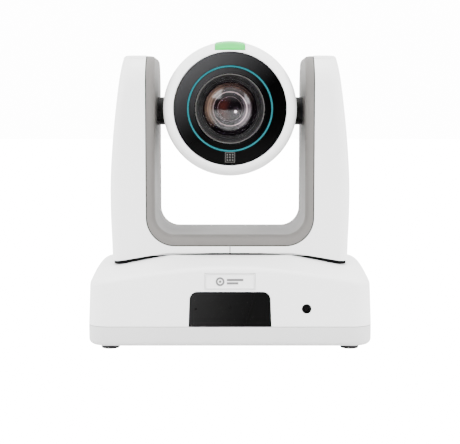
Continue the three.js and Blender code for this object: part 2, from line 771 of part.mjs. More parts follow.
/** One ring of the liner's inner face: `inward` from the seam and `behind` the front face. */
function channelRing(inward, behind, side) {
  const half = seamX - inward;
  const floor = seamZ + inward * (liner.floorLip / liner.lip);
  const corner = seamCorner - inward;
  const path = [];
  const heights = [yokeTop + yoke.depth, yokeTop];
  for (const a of [66, 52, 36, 18, 0]) heights.push(crownStart + yoke.crown * Math.sin(a * degree));
  for (const z of heights) {
    const above = Math.min(liner.topCorner, Math.max(0, z - (yokeTop - liner.topCorner)));
    const flare = liner.topCorner - Math.sqrt(liner.topCorner ** 2 - above ** 2);
    path.push([-half - flare, z]);
  }
  for (let a = 0; a <= 90; a += 15) {
    const x = -half + corner - corner * Math.cos(a * degree);
    path.push([x, floor + corner - corner * Math.sin(a * degree)]);
  }
  const mirrored = path.map(([x, z]) => [-x, z]).reverse();
  return [...path, ...mirrored].map(([x, z]) => {
    const depth = Math.min(z, yokeTop);
    return [x, side * (halfDepth(depth) - behind), z];
  });
}

function makeYokeLiner() {
  const outside = channelRing(liner.seamEdge, 0, 1).map(([x, , z]) => [x, z]);
  const far = yoke.depth;
  const stations = [0, 22.5, 45, 67.5, 90].map((a) => {
    const inward = liner.seamEdge + (liner.lip - liner.seamEdge) * Math.sin(a * degree);
    return [inward, liner.bevel * (1 - Math.cos(a * degree))];
  });
  const rings = [
    outside.map(([x, z]) => [x, -far, z]),
    ...stations.map(([inward, behind]) => channelRing(inward, behind, -1)),
    ...stations.reverse().map(([inward, behind]) => channelRing(inward, behind, 1)),
    outside.map(([x, z]) => [x, far, z]),
  ];
  const opening = toSolid(stacked(rings));

  const lipDepth = yoke.depth / 2 - liner.bevel - liner.plate;
  const plateShape = channelShape(
    innerHalf + liner.plate, linerFloor - liner.plate, liner.corner + liner.plate);
  const plate = toSolid(frontPrism(plateShape, -yoke.depth, yoke.depth));
  const reach = seamX + yoke.depth;
  const pocketBox = toSolid(block([-reach, -lipDepth, 0], [reach, lipDepth, yokeTop + yoke.depth]));
  const pocket = cut(pocketBox.intersect(yokeBlock(yoke.wall)), plate);
  const axle = rod("x", hub.radius + gap, -reach, reach).translate(0, 0, tiltHeight);
  const body = yokeBlock(0).intersect(seamPrism(gap));
  placeSolid("yoke_liner", cut(body, opening, pocket, toSolid(axle)), finishes.silverLiner);
}

function makeYokeFrame() {
  const floorZ = yokeBottom + yoke.wall + frame.lift;
  const top = tiltHeight + frame.aboveAxis;
  const outside = frameX + frame.plate;
  const halfFloor = frame.floorDepth / 2;
  const halfArm = frame.depth / 2;
  const uprights = [-1, 1].map((side) => {
    const [low, high] = side < 0 ? [-outside, -frameX] : [frameX, outside];
    return toSolid(block([low, -halfArm, floorZ], [high, halfArm, top]));
  });
  const plate = block([-outside, -halfFloor, floorZ], [outside, halfFloor, floorZ + frame.plate]);
  const seats = rod("x", tilt.bearing + gap, -bellyHalf, bellyHalf).translate(0, 0, tiltHeight);
  const motorHole = rod("x", tiltMotor.shaft + 2 * gap, 0, bellyHalf)
    .translate(0, 0, tiltHeight - tilt.motorDrop);
  const cableHole = rod("z", pan.bore, 0, floorZ + frame.plate + 1, sides.small);
  const body = join(toSolid(plate), ...uprights);
  placeSolid("yoke_frame", cut(body, toSolid(seats), toSolid(motorHole), toSolid(cableHole)),
    finishes.steel);
}

function makeTiltDrive() {
  const outside = frameX + frame.plate;
  const bearingX = pulleyX + pulley.width + gap;
  const bearings = [["right", 1, hub.shaft], ["left", -1, hub.sleeve]];
  for (const [name, side, shaft] of bearings) {
    const ring = ringProfile(shaft + gap, tilt.bearing, 0, tilt.bearingWidth);
    const bearing = place(`tilt_bearing_${name}`, turnedAcross(ring), finishes.steel);
    bearing.position.set(side > 0 ? bearingX : -bearingX - tilt.bearingWidth, 0, tiltHeight);
  }

  const half = tiltMotor.side / 2;
  const can = block([motorX, -half, -half], [motorX + tiltMotor.thickness, half, half]);
  place("tilt_motor", can, finishes.motorBody).position.z = tiltHeight - tilt.motorDrop;

  const stub = outside - pulleyX;
  const wheel = pulleyProfile(0, tilt.motorPulley).slice(0, -1);
  const profile = [...wheel, [tiltMotor.shaft, pulley.width], [tiltMotor.shaft, stub], [0, stub]];
  place("tilt_motor_pulley", turnedAcross(profile, sides.small), finishes.brass)
    .position.set(pulleyX, 0, tiltHeight - tilt.motorDrop);

  const loop = beltLoop(tilt.pulley, tilt.motorPulley, tilt.motorDrop).rotateY(Math.PI / 2);
  place("tilt_belt", loop, finishes.rubber)
    .position.set(pulleyX + pulley.rim + gap, 0, tiltHeight);
}

function makeArmBoard() {
  const x = -(frameX + frame.plate + armBoard.behind);
  const half = frame.depth / 2 - armBoard.inset;
  const top = tiltHeight - armBoard.belowAxis;
  const card = block([x - board.thickness, -half, top - armBoard.height], [x, half, top]);
  place("motor_driver_board", card, finishes.circuitBoard);
}

// ---------------------------------------------------------------- head
/** The bezel's outer line, from its front rim back to its joint, grown by an offset. */
function bezelLine(offset) {
  const radius = head.diameter / 2 + offset;
  const from = [panelRadius + bezel.rimGap + offset, head.front + offset];
  const pull = [radius - head.noseLean, head.front - head.nose + offset];
  return curve(from, pull, [radius, head.bezelSeam]);
}

function lampBand(low, high) {
  const solidOf = (offset) => {
    const line = bezelLine(offset);
    const [, nose] = line[0];
    return toSolid(turned([[0, head.bezelSeam], ...line.reverse(), [0, nose]], sides.large));
  };
  return cut(solidOf(high), solidOf(low));
}

function lampBox(clearance) {
  const half = lamp.width / 2 + clearance;
  const rear = head.bezelSeam + lamp.setBack - clearance;
  const low = [-half, rear, panelRadius + lamp.abovePanel - clearance];
  return toSolid(block(low, [half, 2 * head.front, head.diameter]));
}

function makeBezel() {
  const radius = head.diameter / 2;
  const seat = head.front - panel.recess - panel.thickness - gap;
  const line = bezelLine(0);
  const seam = head.bezelSeam + gap / 2;
  const profile = [
    [panelRadius + gap, seat], [panelRadius + gap, head.front], ...line,
    [radius, seam], [radius - head.wall, seam],
    [radius - head.wall, head.front - bezel.shoulder],
    [panelRadius - bezel.lip, head.front - bezel.lipDepth], [panelRadius - bezel.lip, seat],
  ].filter(([, y]) => y >= seam);
  const notch = lampBox(gap);
  placeSolid("head_bezel", cut(toSolid(turned(profile.reverse(), sides.large)), notch),
    finishes.whiteShell, opticsGroup);
  placeSolid("tally_lamp", lampBand(-lamp.thickness, lamp.proud).intersect(lampBox(0)),
    finishes.greenLight, opticsGroup);
}

function makeHeadShell() {
  const radius = head.diameter / 2;
  const inside = radius - head.wall;
  const front = head.bezelSeam - gap / 2;
  const rear = head.rearSeam + gap / 2;
  const tube = toSolid(turned(ringProfile(inside, radius, rear, front), sides.large));
  const axle = rod("x", hub.radius + gap, -head.diameter, head.diameter)
    .translate(0, 0, -head.opticalRise);
  placeSolid("head_shell", cut(tube, toSolid(axle)), finishes.whiteShell, opticsGroup);

  const wall = head.wall;
  const seam = head.rearSeam - gap / 2;
  const nose = head.rear + head.rearNose;
  const outer = curve([radius, seam], [radius, nose], [head.rearRadius, head.rear], 5);
  const inner = curve([inside, seam], [inside, nose + wall],
    [head.rearRadius - wall, head.rear + wall], 5);
  const profile = [[0, head.rear], ...outer.reverse(), ...inner, [0, head.rear + wall]];
  const half = slot.width / 2;
  const slots = Array.from({ length: slot.count }, (_, row) => {
    const z = (row - (slot.count - 1) / 2) * slot.pitch;
    const low = [-half, head.rear - 1, z - slot.height / 2];
    return toSolid(block(low, [half, head.rear + 2 * wall, z + slot.height / 2]));
  });
  placeSolid("head_rear_cover", cut(toSolid(turned(profile, sides.large)), ...slots),
    finishes.whiteShell, opticsGroup);
}

function makeFrontPanel() {
  const front = head.front - panel.recess;
  const rear = front - panel.thickness;
  const grooveFloor = front - lightRing.depth - gap;
  const profile = [
    [panelBore, rear], [panelRadius, rear], [panelRadius, front],
    [ringOuter + gap, front], [ringOuter + gap, grooveFloor],
    [ringInner - gap, grooveFloor], [ringInner - gap, front], [panelBore, front],
  ];
  place("front_panel", turned(profile, sides.large), finishes.blackGloss, opticsGroup);
  const ring = ringProfile(ringInner, ringOuter, front - lightRing.depth, front);
  place("light_ring", turned(ring, sides.large), finishes.cyanLight, opticsGroup);
}

function makeBarrel() {
  const tube = barrelBore + barrel.wall;
  const flare = zoom.front + barrel.flare;
  const mouth = barrel.radius - barrel.rim;
  const ledge = mouth - barrel.step;
  const step = (ledge - barrelBore) / 3;
  const seat = barrelFront - frontLens.edgeRear - gap;
  const depth = (seat - flare) / 4;
  const profile = [
    [barrelBore, barrel.rear], [tube, barrel.rear], [tube, flare], [barrel.radius, flare + barrel.flare],
    [barrel.radius, barrelFront], [mouth, barrelFront], [mouth, seat],
    [ledge, seat], [ledge, seat - depth], [ledge - step, seat - depth],
    [ledge - step, seat - 2 * depth], [ledge - 2 * step, seat - 2 * depth],
    [ledge - 2 * step, seat - 3 * depth], [barrelBore, seat - 3 * depth],
  ];
  place("lens_barrel", turned(profile, sides.large), finishes.blackPlastic, opticsGroup);

  const edge = mouth - gap;
  const apex = barrelFront - frontLens.apex;
  const edgeRear = barrelFront - frontLens.edgeRear;
  const dome = curve([edge, barrelFront - frontLens.edgeFront], [edge / 2, apex], [0, apex], 4);
  const lens = [[0, edgeRear], [edge, edgeRear], ...dome];
  place("front_lens", turned(lens, sides.medium), finishes.glass, opticsGroup);
}

/** A ring that carries one moving lens along the barrel, and its lens. */
function makeLensGroup(name, front, lensRadius) {
  const rear = front - carriage.length;
  const ring = ringProfile(carriage.bore, carriage.radius, rear, front);
  place(`${name}_carriage`, turned(ring, sides.medium), finishes.aluminium, opticsGroup);
  const radius = Math.min(lensRadius, carriage.bore - gap);
  const { edge, crown } = lensShape;
  const bulge = curve([radius, edge], [radius / 2, crown], [0, crown], 3);
  const middleY = (front + rear) / 2;
  const nose = bulge.map(([r, y]) => [r, middleY + y]);
  const tail = bulge.map(([r, y]) => [r, middleY - y]).reverse();
  place(`${name}_lens`, turned([...tail, ...nose], sides.small), finishes.glass, opticsGroup);
}

function makeSensor() {
  const front = barrel.rear - sensorBoard.behind;
  const back = front - sensorBoard.thickness;
  const half = sensorBoard.side / 2;
  place("sensor_board", block([-half, back, -half], [half, front, half]),
    finishes.circuitBoard, opticsGroup);
  const low = [-sensor.width / 2, front + gap, -sensor.height / 2];
  const high = [sensor.width / 2, front + gap + sensor.thickness, sensor.height / 2];
  place("image_sensor", block(low, high), finishes.blackGloss, opticsGroup);

  const sinkFront = back - gap;
  const reach = heatSink.side / 2;
  const finFloor = sinkFront - heatSink.base;
  const plate = toSolid(block([-reach, finFloor, -reach], [reach, sinkFront, reach]));
  const pitch = (heatSink.side - heatSink.fin) / (heatSink.fins - 1);
  const fins = Array.from({ length: heatSink.fins }, (_, i) => {
    const x = -reach + i * pitch;
    const low = [x, finFloor - heatSink.finHeight, -reach];
    return toSolid(block(low, [x + heatSink.fin, finFloor + 1, reach]));
  });
  placeSolid("heat_sink", join(plate, ...fins), finishes.aluminium, opticsGroup);
}

function makeLensMotors() {
  const offset = barrelBore + barrel.wall + lensMotor.radius + lensMotor.clearance;
  const rear = barrel.rear + lensMotor.ahead;
  for (const [name, side] of [["zoom_motor", -1], ["focus_motor", 1]]) {
    const can = rod("y", lensMotor.radius, rear, rear + lensMotor.length);
    place(name, can, finishes.steel, opticsGroup).position.x = side * offset;
  }
}

/** A hub carries the head between the arms: right side driven, left side hollow for cables. */
function makeHubs() {
  const flangeX = head.diameter / 2 - 2 * head.wall - hub.flangeThickness;
  const inner = flangeX - hub.flangeThickness;
  const shoulder = innerHalf + liner.plate - gap;
  const end = pulleyX + pulley.width + tilt.bearingWidth + tilt.shaftEnd;
  const root = [[hub.flange, inner], [hub.flange, flangeX], [hub.radius, flangeX]];
  const wall = [...root, [hub.radius, shoulder]];
  const driven = [[0, inner], ...wall, [hub.shaft, shoulder], [hub.shaft, end], [0, end]];
  const hollow = [[hub.sleeveBore, inner], ...wall, [hub.sleeve, shoulder], [hub.sleeve, end],
    [hub.sleeveBore, end]];
  place("tilt_hub_right", turnedAcross(driven, sides.medium), finishes.blackPlastic, headGroup);
  const cableHub = turnedAcross(hollow, sides.medium).rotateZ(Math.PI);
  place("tilt_hub_left", cableHub, finishes.blackPlastic, headGroup);
  const wheel = turnedAcross(pulleyProfile(hub.shaft + gap, tilt.pulley), sides.medium);
  place("tilt_driven_pulley", wheel, finishes.blackPlastic, headGroup).position.x = pulleyX;
}

makeHousing();
makeTray();
makeFeet();
makeTripodInsert();
makeFrontFittings();
makeRearPanel();
makePanDrive();
makeTurntable();
makeYokeCovers();
makeYokeLiner();
makeYokeFrame();
makeTiltDrive();
makeArmBoard();
makeBezel();
makeHeadShell();
makeFrontPanel();
makeBarrel();
makeLensGroup("zoom", zoom.front, zoom.lens);
makeLensGroup("focus", focus.front, focus.lens);
makeSensor();
makeLensMotors();
makeHubs();

export default camera;
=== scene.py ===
"""A pan-tilt-zoom room camera: connector base, panning yoke and a round head with a zoom lens."""
import json
import math

import bmesh
import bpy
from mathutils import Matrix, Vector


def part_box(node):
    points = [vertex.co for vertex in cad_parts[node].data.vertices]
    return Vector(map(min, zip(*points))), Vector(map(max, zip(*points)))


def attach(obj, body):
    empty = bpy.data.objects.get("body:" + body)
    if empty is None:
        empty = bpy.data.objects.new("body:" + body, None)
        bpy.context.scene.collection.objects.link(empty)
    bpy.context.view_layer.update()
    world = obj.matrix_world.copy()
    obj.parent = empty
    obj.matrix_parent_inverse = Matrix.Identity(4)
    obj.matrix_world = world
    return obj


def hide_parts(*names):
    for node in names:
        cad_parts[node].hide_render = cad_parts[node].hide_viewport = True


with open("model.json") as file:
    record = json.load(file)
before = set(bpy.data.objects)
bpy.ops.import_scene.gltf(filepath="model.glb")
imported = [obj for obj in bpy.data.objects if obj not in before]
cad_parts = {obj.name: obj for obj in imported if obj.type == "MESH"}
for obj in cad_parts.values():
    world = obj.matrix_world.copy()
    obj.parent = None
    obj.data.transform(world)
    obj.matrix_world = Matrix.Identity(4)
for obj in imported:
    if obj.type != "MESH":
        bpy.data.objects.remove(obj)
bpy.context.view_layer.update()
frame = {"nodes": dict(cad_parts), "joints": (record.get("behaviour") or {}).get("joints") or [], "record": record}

MM = 0.001

# ---- sizes read from the frame
housing_low, housing_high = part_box("base_housing")
tray_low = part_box("base_tray")[0]
cover_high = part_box("yoke_cover_right")[1]
liner_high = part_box("yoke_liner")[1]
shell_low, shell_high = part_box("head_shell")
hub_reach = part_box("tilt_hub_right")[1].x
tilt_height = next(joint for joint in frame["joints"] if joint["name"] == "tilt")["pos_m"][2]

base_half_x = housing_high.x
base_half_y = housing_high.y
deck_height = housing_high.z
yoke_top = cover_high.z
yoke_half_depth = cover_high.y
belly_half = cover_high.x
lens_height = (shell_high.z + shell_low.z) / 2

# ---- sizes that no box shows
JOINT_GAP = 0.3 * MM
WALL = 2.5 * MM
BASE_CORNER = 13 * MM
BASE_DRAFT = math.radians(2.3)
SHOULDER = 4 * MM
SHOULDER_REACH = SHOULDER * 0.82
DECK_RADIUS = 55 * MM
DECK_SLOPE = math.radians(13.5)
TRAY_EDGE = 3.5 * MM
YOKE_EDGE = 8 * MM
YOKE_CROWN = 20 * MM
YOKE_CAP = 2.5 * MM
YOKE_BOTTOM = deck_height + 1.4 * MM
YOKE_FLAT = 57 * MM
YOKE_SLOPE = math.radians(11.5)
BELLY_BELOW_TOP = 88.5 * MM
FOOT_BELOW_BELLY = 40.4 * MM
TOP_HALF = 69.7 * MM
FOOT_HALF = 77.2 * MM
FOOT_ROUND = 0.6 * MM
INNER_HALF = 49 * MM
LINER_LIP = 5.7 * MM
LINER_BEVEL = 6.5 * MM
LINER_CORNER = 13 * MM
LINER_CAP = 3 * MM
LINER_FLOOR = tilt_height - 80.8 * MM
LINER_FLOOR_LIP = 7.2 * MM
SEAM_HALF = INNER_HALF + LINER_LIP
SEAM_FLOOR = LINER_FLOOR - LINER_FLOOR_LIP
SEAM_CORNER = LINER_CORNER + LINER_LIP
COVER_GAP = 0.24 * MM  # half the gap between the two covers


# ---- modelling by hand
def set_down():
    """Leaves edit mode with nothing selected."""
    if bpy.context.mode != "OBJECT":
        bpy.ops.object.mode_set(mode="OBJECT")
    bpy.ops.object.select_all(action="DESELECT")


def pick_up(piece):
    set_down()
    piece.select_set(True)
    bpy.context.view_layer.objects.active = piece
    return piece


def named(name):
    piece = bpy.context.object
    piece.name = name
    piece.data.name = name
    return piece


def edit(select="SELECT"):
    bpy.ops.object.mode_set(mode="EDIT")
    bpy.ops.mesh.select_mode(type="VERT")
    bpy.ops.mesh.select_all(action=select)


def bake_place(piece, turn=(0, 0, 0), move=(0, 0, 0), scale=(1, 1, 1)):
    """Scales, turns and moves a piece, and puts its place in its mesh."""
    pick_up(piece)
    piece.scale = scale
    piece.rotation_euler = turn
    piece.location = move
    bpy.ops.object.transform_apply(location=True, rotation=True, scale=True)
    return piece


def face_outwards(piece, merge=1e-6):
    pick_up(piece)
    edit()
    bpy.ops.mesh.remove_doubles(threshold=merge)
    bpy.ops.mesh.normals_make_consistent(inside=False)
    set_down()
    return piece


def modify(piece, kind, **settings):
    """Adds one modifier and applies it."""
    pick_up(piece)
    modifier = piece.modifiers.new(kind.title(), kind)
    for key, value in settings.items():
        setattr(modifier, key, value)
    bpy.ops.object.modifier_apply(modifier=modifier.name)
    return piece


def soften(piece, width, segments=2, angle=35):
    """Rounds the piece's sharp edges, as a moulding's are."""
    return modify(piece, "BEVEL", width=width, segments=segments, limit_method="ANGLE",
                  angle_limit=math.radians(angle), use_clamp_overlap=True, miter_outer="MITER_ARC")


def smooth(piece, angle=32):
    pick_up(piece)
    bpy.ops.object.shade_smooth_by_angle(angle=math.radians(angle))
    modify(piece, "WEIGHTED_NORMAL", keep_sharp=True)
    return piece


def carve(piece, *tools, operation="DIFFERENCE"):
    """Cuts the piece with each tool and clears the tools away."""
    for tool in tools:
        modify(piece, "BOOLEAN", object=tool, operation=operation, solver="EXACT")
        bpy.data.objects.remove(tool)
    return piece


def bring_in(thing):
    bpy.context.scene.collection.objects.link(thing)
    return thing


def twin(piece, name):
    copy = bring_in(piece.copy())
    copy.data = piece.data.copy()
    copy.name = copy.data.name = name
    return copy


def repeated(piece, moves):
    """Copies of one piece, one at each place; the piece itself goes to the last."""
    copies = [bake_place(twin(piece, piece.name), move=move) for move in moves[:-1]]
    return [*copies, bake_place(piece, move=moves[-1])]


def mirrored(piece, name, axis=0, angle=30):
    """A copy of the piece turned over across the plane through the middle."""
    flip = [-1 if number == axis else 1 for number in range(3)]
    return smooth(face_outwards(bake_place(twin(piece, name), scale=flip)), angle)


def join_all(name, pieces):
    set_down()
    for piece in pieces:
        piece.select_set(True)
    bpy.context.view_layer.objects.active = pieces[0]
    bpy.ops.object.join()
    return named(name)


UP = (0, 0, 0)
FORWARD = (math.pi / 2, 0, 0)
ACROSS = (0, math.pi / 2, 0)
AXIS_RADIUS = 0.01 * MM  # a ring this small closes to a point


def turned(name, profile, axis=UP, centre=(0, 0, 0), sides=96):
    """A turned solid: a circle drawn out ring by ring along a profile of (radius, height)."""
    steps = [(max(radius, AXIS_RADIUS), height) for radius, height in profile]
    if profile[0][0] > 0 and profile[0] != profile[-1]:
        steps.append(steps[0])
    set_down()
    radius, height = steps[0]
    bpy.ops.mesh.primitive_circle_add(vertices=sides, radius=radius, fill_type="NOTHING")
    piece = named(name)
    edit()
    bpy.ops.transform.translate(value=(0, 0, height))
    for next_radius, next_height in steps[1:]:
        rise = {"value": (0, 0, next_height - height)}
        bpy.ops.mesh.extrude_edges_move(TRANSFORM_OT_translate=rise)
        scale = next_radius / radius
        bpy.ops.transform.resize(value=(scale, scale, 1), center_override=(0, 0, next_height))
        radius, height = next_radius, next_height
    face_outwards(piece, merge=2.1 * AXIS_RADIUS)
    return bake_place(piece, axis, centre)


def drawn_up(name, rings, close=True):
    """A skin drawn up through rings of corners, each ring extruded from the one below."""
    set_down()
    bpy.ops.mesh.primitive_circle_add(vertices=len(rings[0]), radius=1, fill_type="NOTHING")
    piece = named(name)
    edit()
    mesh = bmesh.from_edit_mesh(piece.data)
    spot = mesh.verts.layers.int.new("spot")
    for index, corner in enumerate(mesh.verts):
        corner[spot] = index
    for number, ring in enumerate(rings):
        if number:
            bpy.ops.mesh.extrude_edges_move()
        mesh = bmesh.from_edit_mesh(piece.data)
        spot = mesh.verts.layers.int["spot"]
        for corner in mesh.verts:
            if corner.select:
                corner.co = ring[corner[spot]]
        bmesh.update_edit_mesh(piece.data)
        if close and number in (0, len(rings) - 1):
            bpy.ops.mesh.edge_face_add()
            bpy.ops.mesh.select_mode(type="VERT")
    return face_outwards(piece)


def block(name, low, high):
    """A box from its lowest to its highest corner, to be shaped or to cut with."""
    set_down()
    bpy.ops.mesh.primitive_cube_add(size=1)
    return bake_place(named(name), move=[(a + b) / 2 for a, b in zip(low, high)],
                      scale=[b - a for a, b in zip(low, high)])


def rod(name, radius, low, high, axis=UP, centre=(0, 0, 0), sides=48):
    return turned(name, [(0, low), (radius, low), (radius, high), (0, high)], axis, centre, sides)


def plate(name, corners, thickness, rounding=0, rounded=(), segments=10):
    """A flat plate in the XZ plane, front towards -Y, from its corners; some are rounded."""
    set_down()
    bpy.ops.mesh.primitive_circle_add(vertices=len(corners), radius=1, fill_type="NGON")
    piece = named(name)
    for corner, (x, z) in zip(piece.data.vertices, corners):
        corner.co = (x, 0, z)
    edit("DESELECT")
    mesh = bmesh.from_edit_mesh(piece.data)
    mesh.verts.ensure_lookup_table()
    for index in rounded:
        mesh.verts[index].select = True
    mesh.select_flush_mode()
    if rounded:
        bpy.ops.mesh.bevel(offset=rounding, segments=segments, affect="VERTICES")
    bpy.ops.mesh.select_all(action="SELECT")
    bpy.ops.mesh.extrude_region_move(TRANSFORM_OT_translate={"value": (0, thickness, 0)})
    return face_outwards(piece)


def in_metres(points):
    return [(a * MM, b * MM) for a, b in points]


def arc(centre, radius, start, end, steps):
    """Points (across, up) round a centre, from one angle in degrees to another."""
    angles = [math.radians(start + (end - start) * step / steps) for step in range(steps + 1)]
    return [(centre[0] + radius * math.cos(a), centre[1] + radius * math.sin(a)) for a in angles]


def bezier(start, pull, end, steps):
    points = []
    for step in range(steps + 1):
        t = step / steps
        weights = ((1 - t) ** 2, 2 * t * (1 - t), t * t)
        points.append(tuple(sum(w * p[i] for w, p in zip(weights, (start, pull, end)))
                            for i in range(2)))
    return points


def rounded_outline(half_x, half_y, radius, arc_steps=12, along_x=1, along_y=1):
    """Corners of a rounded rectangle, anticlockwise: (x, y, facing x, facing y)."""
    signs = ((1, 1), (-1, 1), (-1, -1), (1, -1))
    arcs = []
    for quarter, (sign_x, sign_y) in enumerate(signs):
        points = []
        for step in range(arc_steps + 1):
            angle = (quarter + step / arc_steps) * math.pi / 2
            face_x, face_y = math.cos(angle), math.sin(angle)
            points.append((sign_x * (half_x - radius) + radius * face_x,
                           sign_y * (half_y - radius) + radius * face_y, face_x, face_y))
        arcs.append(points)
    outline = []
    for quarter, points in enumerate(arcs):
        outline += points
        start, end = points[-1], arcs[(quarter + 1) % 4][0]
        steps = along_y if quarter % 2 else along_x
        for step in range(1, steps):
            share = step / steps
            outline.append((start[0] + (end[0] - start[0]) * share,
                            start[1] + (end[1] - start[1]) * share, start[2], start[3]))
    return outline


# ---- material groups
def new_group(name, given, made=("Colour", "Roughness", "Height")):
    """An empty group from its named inputs' own values; gives it, its inputs and its outputs."""
    group = bpy.data.node_groups.new(name, "ShaderNodeTree")

    def socket(label, side, colour):
        kind = "NodeSocketColor" if colour else "NodeSocketFloat"
        return group.interface.new_socket(name=label, in_out=side, socket_type=kind)
    for label, value in given.items():
        socket(label, "INPUT", isinstance(value, tuple)).default_value = value
    for label in made:
        socket(label, "OUTPUT", label == "Colour")
    start, end = (group.nodes.new(kind) for kind in ("NodeGroupInput", "NodeGroupOutput"))
    return group, start.outputs, end.inputs


def add(tree, kind, **settings):
    node = tree.nodes.new(kind)
    for key, value in settings.items():
        setattr(node, key, value)
    return node


def feed(tree, socket, value):
    """Sets a socket to a plain value, or links another node's output to it."""
    if isinstance(value, (int, float, tuple)):
        socket.default_value = value
    else:
        tree.links.new(value, socket)


def object_place(tree):
    return add(tree, "ShaderNodeTexCoord").outputs["Object"]


def axes_of(tree, vector):
    split = add(tree, "ShaderNodeSeparateXYZ")
    feed(tree, split.inputs[0], vector)
    return split.outputs


def noise(tree, vector, scale, detail=3.0, roughness=0.5):
    node = add(tree, "ShaderNodeTexNoise")
    for label, value in (("Vector", vector), ("Scale", scale), ("Detail", detail), ("Roughness", roughness)):
        feed(tree, node.inputs[label], value)
    return node.outputs["Fac"]


def remap(tree, value, low, high, to_low, to_high, ease="LINEAR"):
    node = add(tree, "ShaderNodeMapRange", interpolation_type=ease)
    for label, number in (("Value", value), ("From Min", low), ("From Max", high),
                          ("To Min", to_low), ("To Max", to_high)):
        feed(tree, node.inputs[label], number)
    return node.outputs["Result"]


def combine(tree, operation, a, b=0.0):
    node = add(tree, "ShaderNodeMath", operation=operation)
    feed(tree, node.inputs[0], a)
    feed(tree, node.inputs[1], b)
    return node.outputs[0]


def plus(tree, a, b):
    return combine(tree, "ADD", a, b)


def times(tree, product, *others):
    for other in others:
        product = combine(tree, "MULTIPLY", product, other)
    return product


def blend_colours(tree, share, first, second, mode="MIX"):
    node = add(tree, "ShaderNodeMix", data_type="RGBA", blend_type=mode)
    for index, value in ((0, share), (6, first), (7, second)):
        feed(tree, node.inputs[index], value)
    return node.outputs[2]


def spread(tree, mask, value, low, high):
    """A value that follows a mask between two shares of itself."""
    return remap(tree, mask, 0.3, 0.7, times(tree, value, low), times(tree, value, high))


def length_of(tree, a, b):
    return combine(tree, "SQRT", plus(tree, times(tree, a, a), times(tree, b, b)))


def finish_group(group, made, **results):
    for label, value in results.items():
        feed(group, made[label], value)
    return group


def make_moulding_group():
    """Moulded plastic: spark-eroded grain, slow waviness and faint cloudiness."""
    group, given, made = new_group("moulded_grain", {
        "Colour": (0.8, 0.8, 0.8, 1), "Shade": 0.03, "Roughness": 0.4, "Grain Scale": 2200.0,
        "Cloud Scale": 22.0})
    place = object_place(group)
    grain = noise(group, place, given["Grain Scale"], 2.0)
    cloud = noise(group, place, given["Cloud Scale"], 4.0)
    darker = combine(group, "SUBTRACT", 1.0, given["Shade"])
    level = remap(group, cloud, 0.3, 0.7, darker, 1.0)
    tint = blend_colours(group, 1.0, given["Colour"], level, "MULTIPLY")
    mixed = plus(group, times(group, cloud, 0.6), times(group, grain, 0.4))
    rough = spread(group, mixed, given["Roughness"], 0.88, 1.12)
    height = plus(group, grain, times(group, cloud, 0.35))
    return finish_group(group, made, Colour=tint, Roughness=rough, Height=height)


def make_turned_group():
    """Turned or brushed metal: fine streaks along one direction and a mottled sheen."""
    group, given, made = new_group("machined_metal", {
        "Colour": (0.6, 0.6, 0.6, 1), "Roughness": 0.35, "Streak X": 60.0, "Streak Y": 900.0,
        "Streak Z": 900.0})
    place = object_place(group)
    scale = add(group, "ShaderNodeCombineXYZ")
    for axis in "XYZ":
        feed(group, scale.inputs[axis], given["Streak " + axis])
    stretched = add(group, "ShaderNodeVectorMath", operation="MULTIPLY")
    feed(group, stretched.inputs[0], place)
    feed(group, stretched.inputs[1], scale.outputs[0])
    streak = noise(group, stretched.outputs[0], 1.0, 4.0, 0.6)
    mottle = noise(group, place, 160.0, 3.0)
    level = remap(group, plus(group, streak, mottle), 0.7, 1.3, 0.82, 1.08)
    tint = blend_colours(group, 1.0, given["Colour"], level, "MULTIPLY")
    rough = spread(group, streak, given["Roughness"], 0.75, 1.3)
    return finish_group(group, made, Colour=tint, Roughness=rough, Height=streak)


def make_painted_reflection_group():
    """Painted reflection: the slow falling-off of a reflected bright wall across a glossy black face, painted into
    the base colour as a gradient.
    """
    group, given, made = new_group("painted_wall_reflection", {
        "Dark": (0.0006, 0.0006, 0.0006, 1), "Lit": (0.06, 0.06, 0.065, 1), "Across": -20.0,
        "Up": 20.0, "Shift": 0.0}, ["Colour"])
    axes = axes_of(group, object_place(group))
    across = times(group, axes["X"], given["Across"])
    upward = times(group, axes["Z"], given["Up"])
    level = plus(group, plus(group, across, upward), given["Shift"])
    # painted reflection: the colour runs from dark to lit along a straight slope across the face
    share = combine(group, "POWER", remap(group, level, 0.0, 1.0, 0.0, 1.0), 1.5)
    tint = blend_colours(group, share, given["Dark"], given["Lit"])
    return finish_group(group, made, Colour=tint)


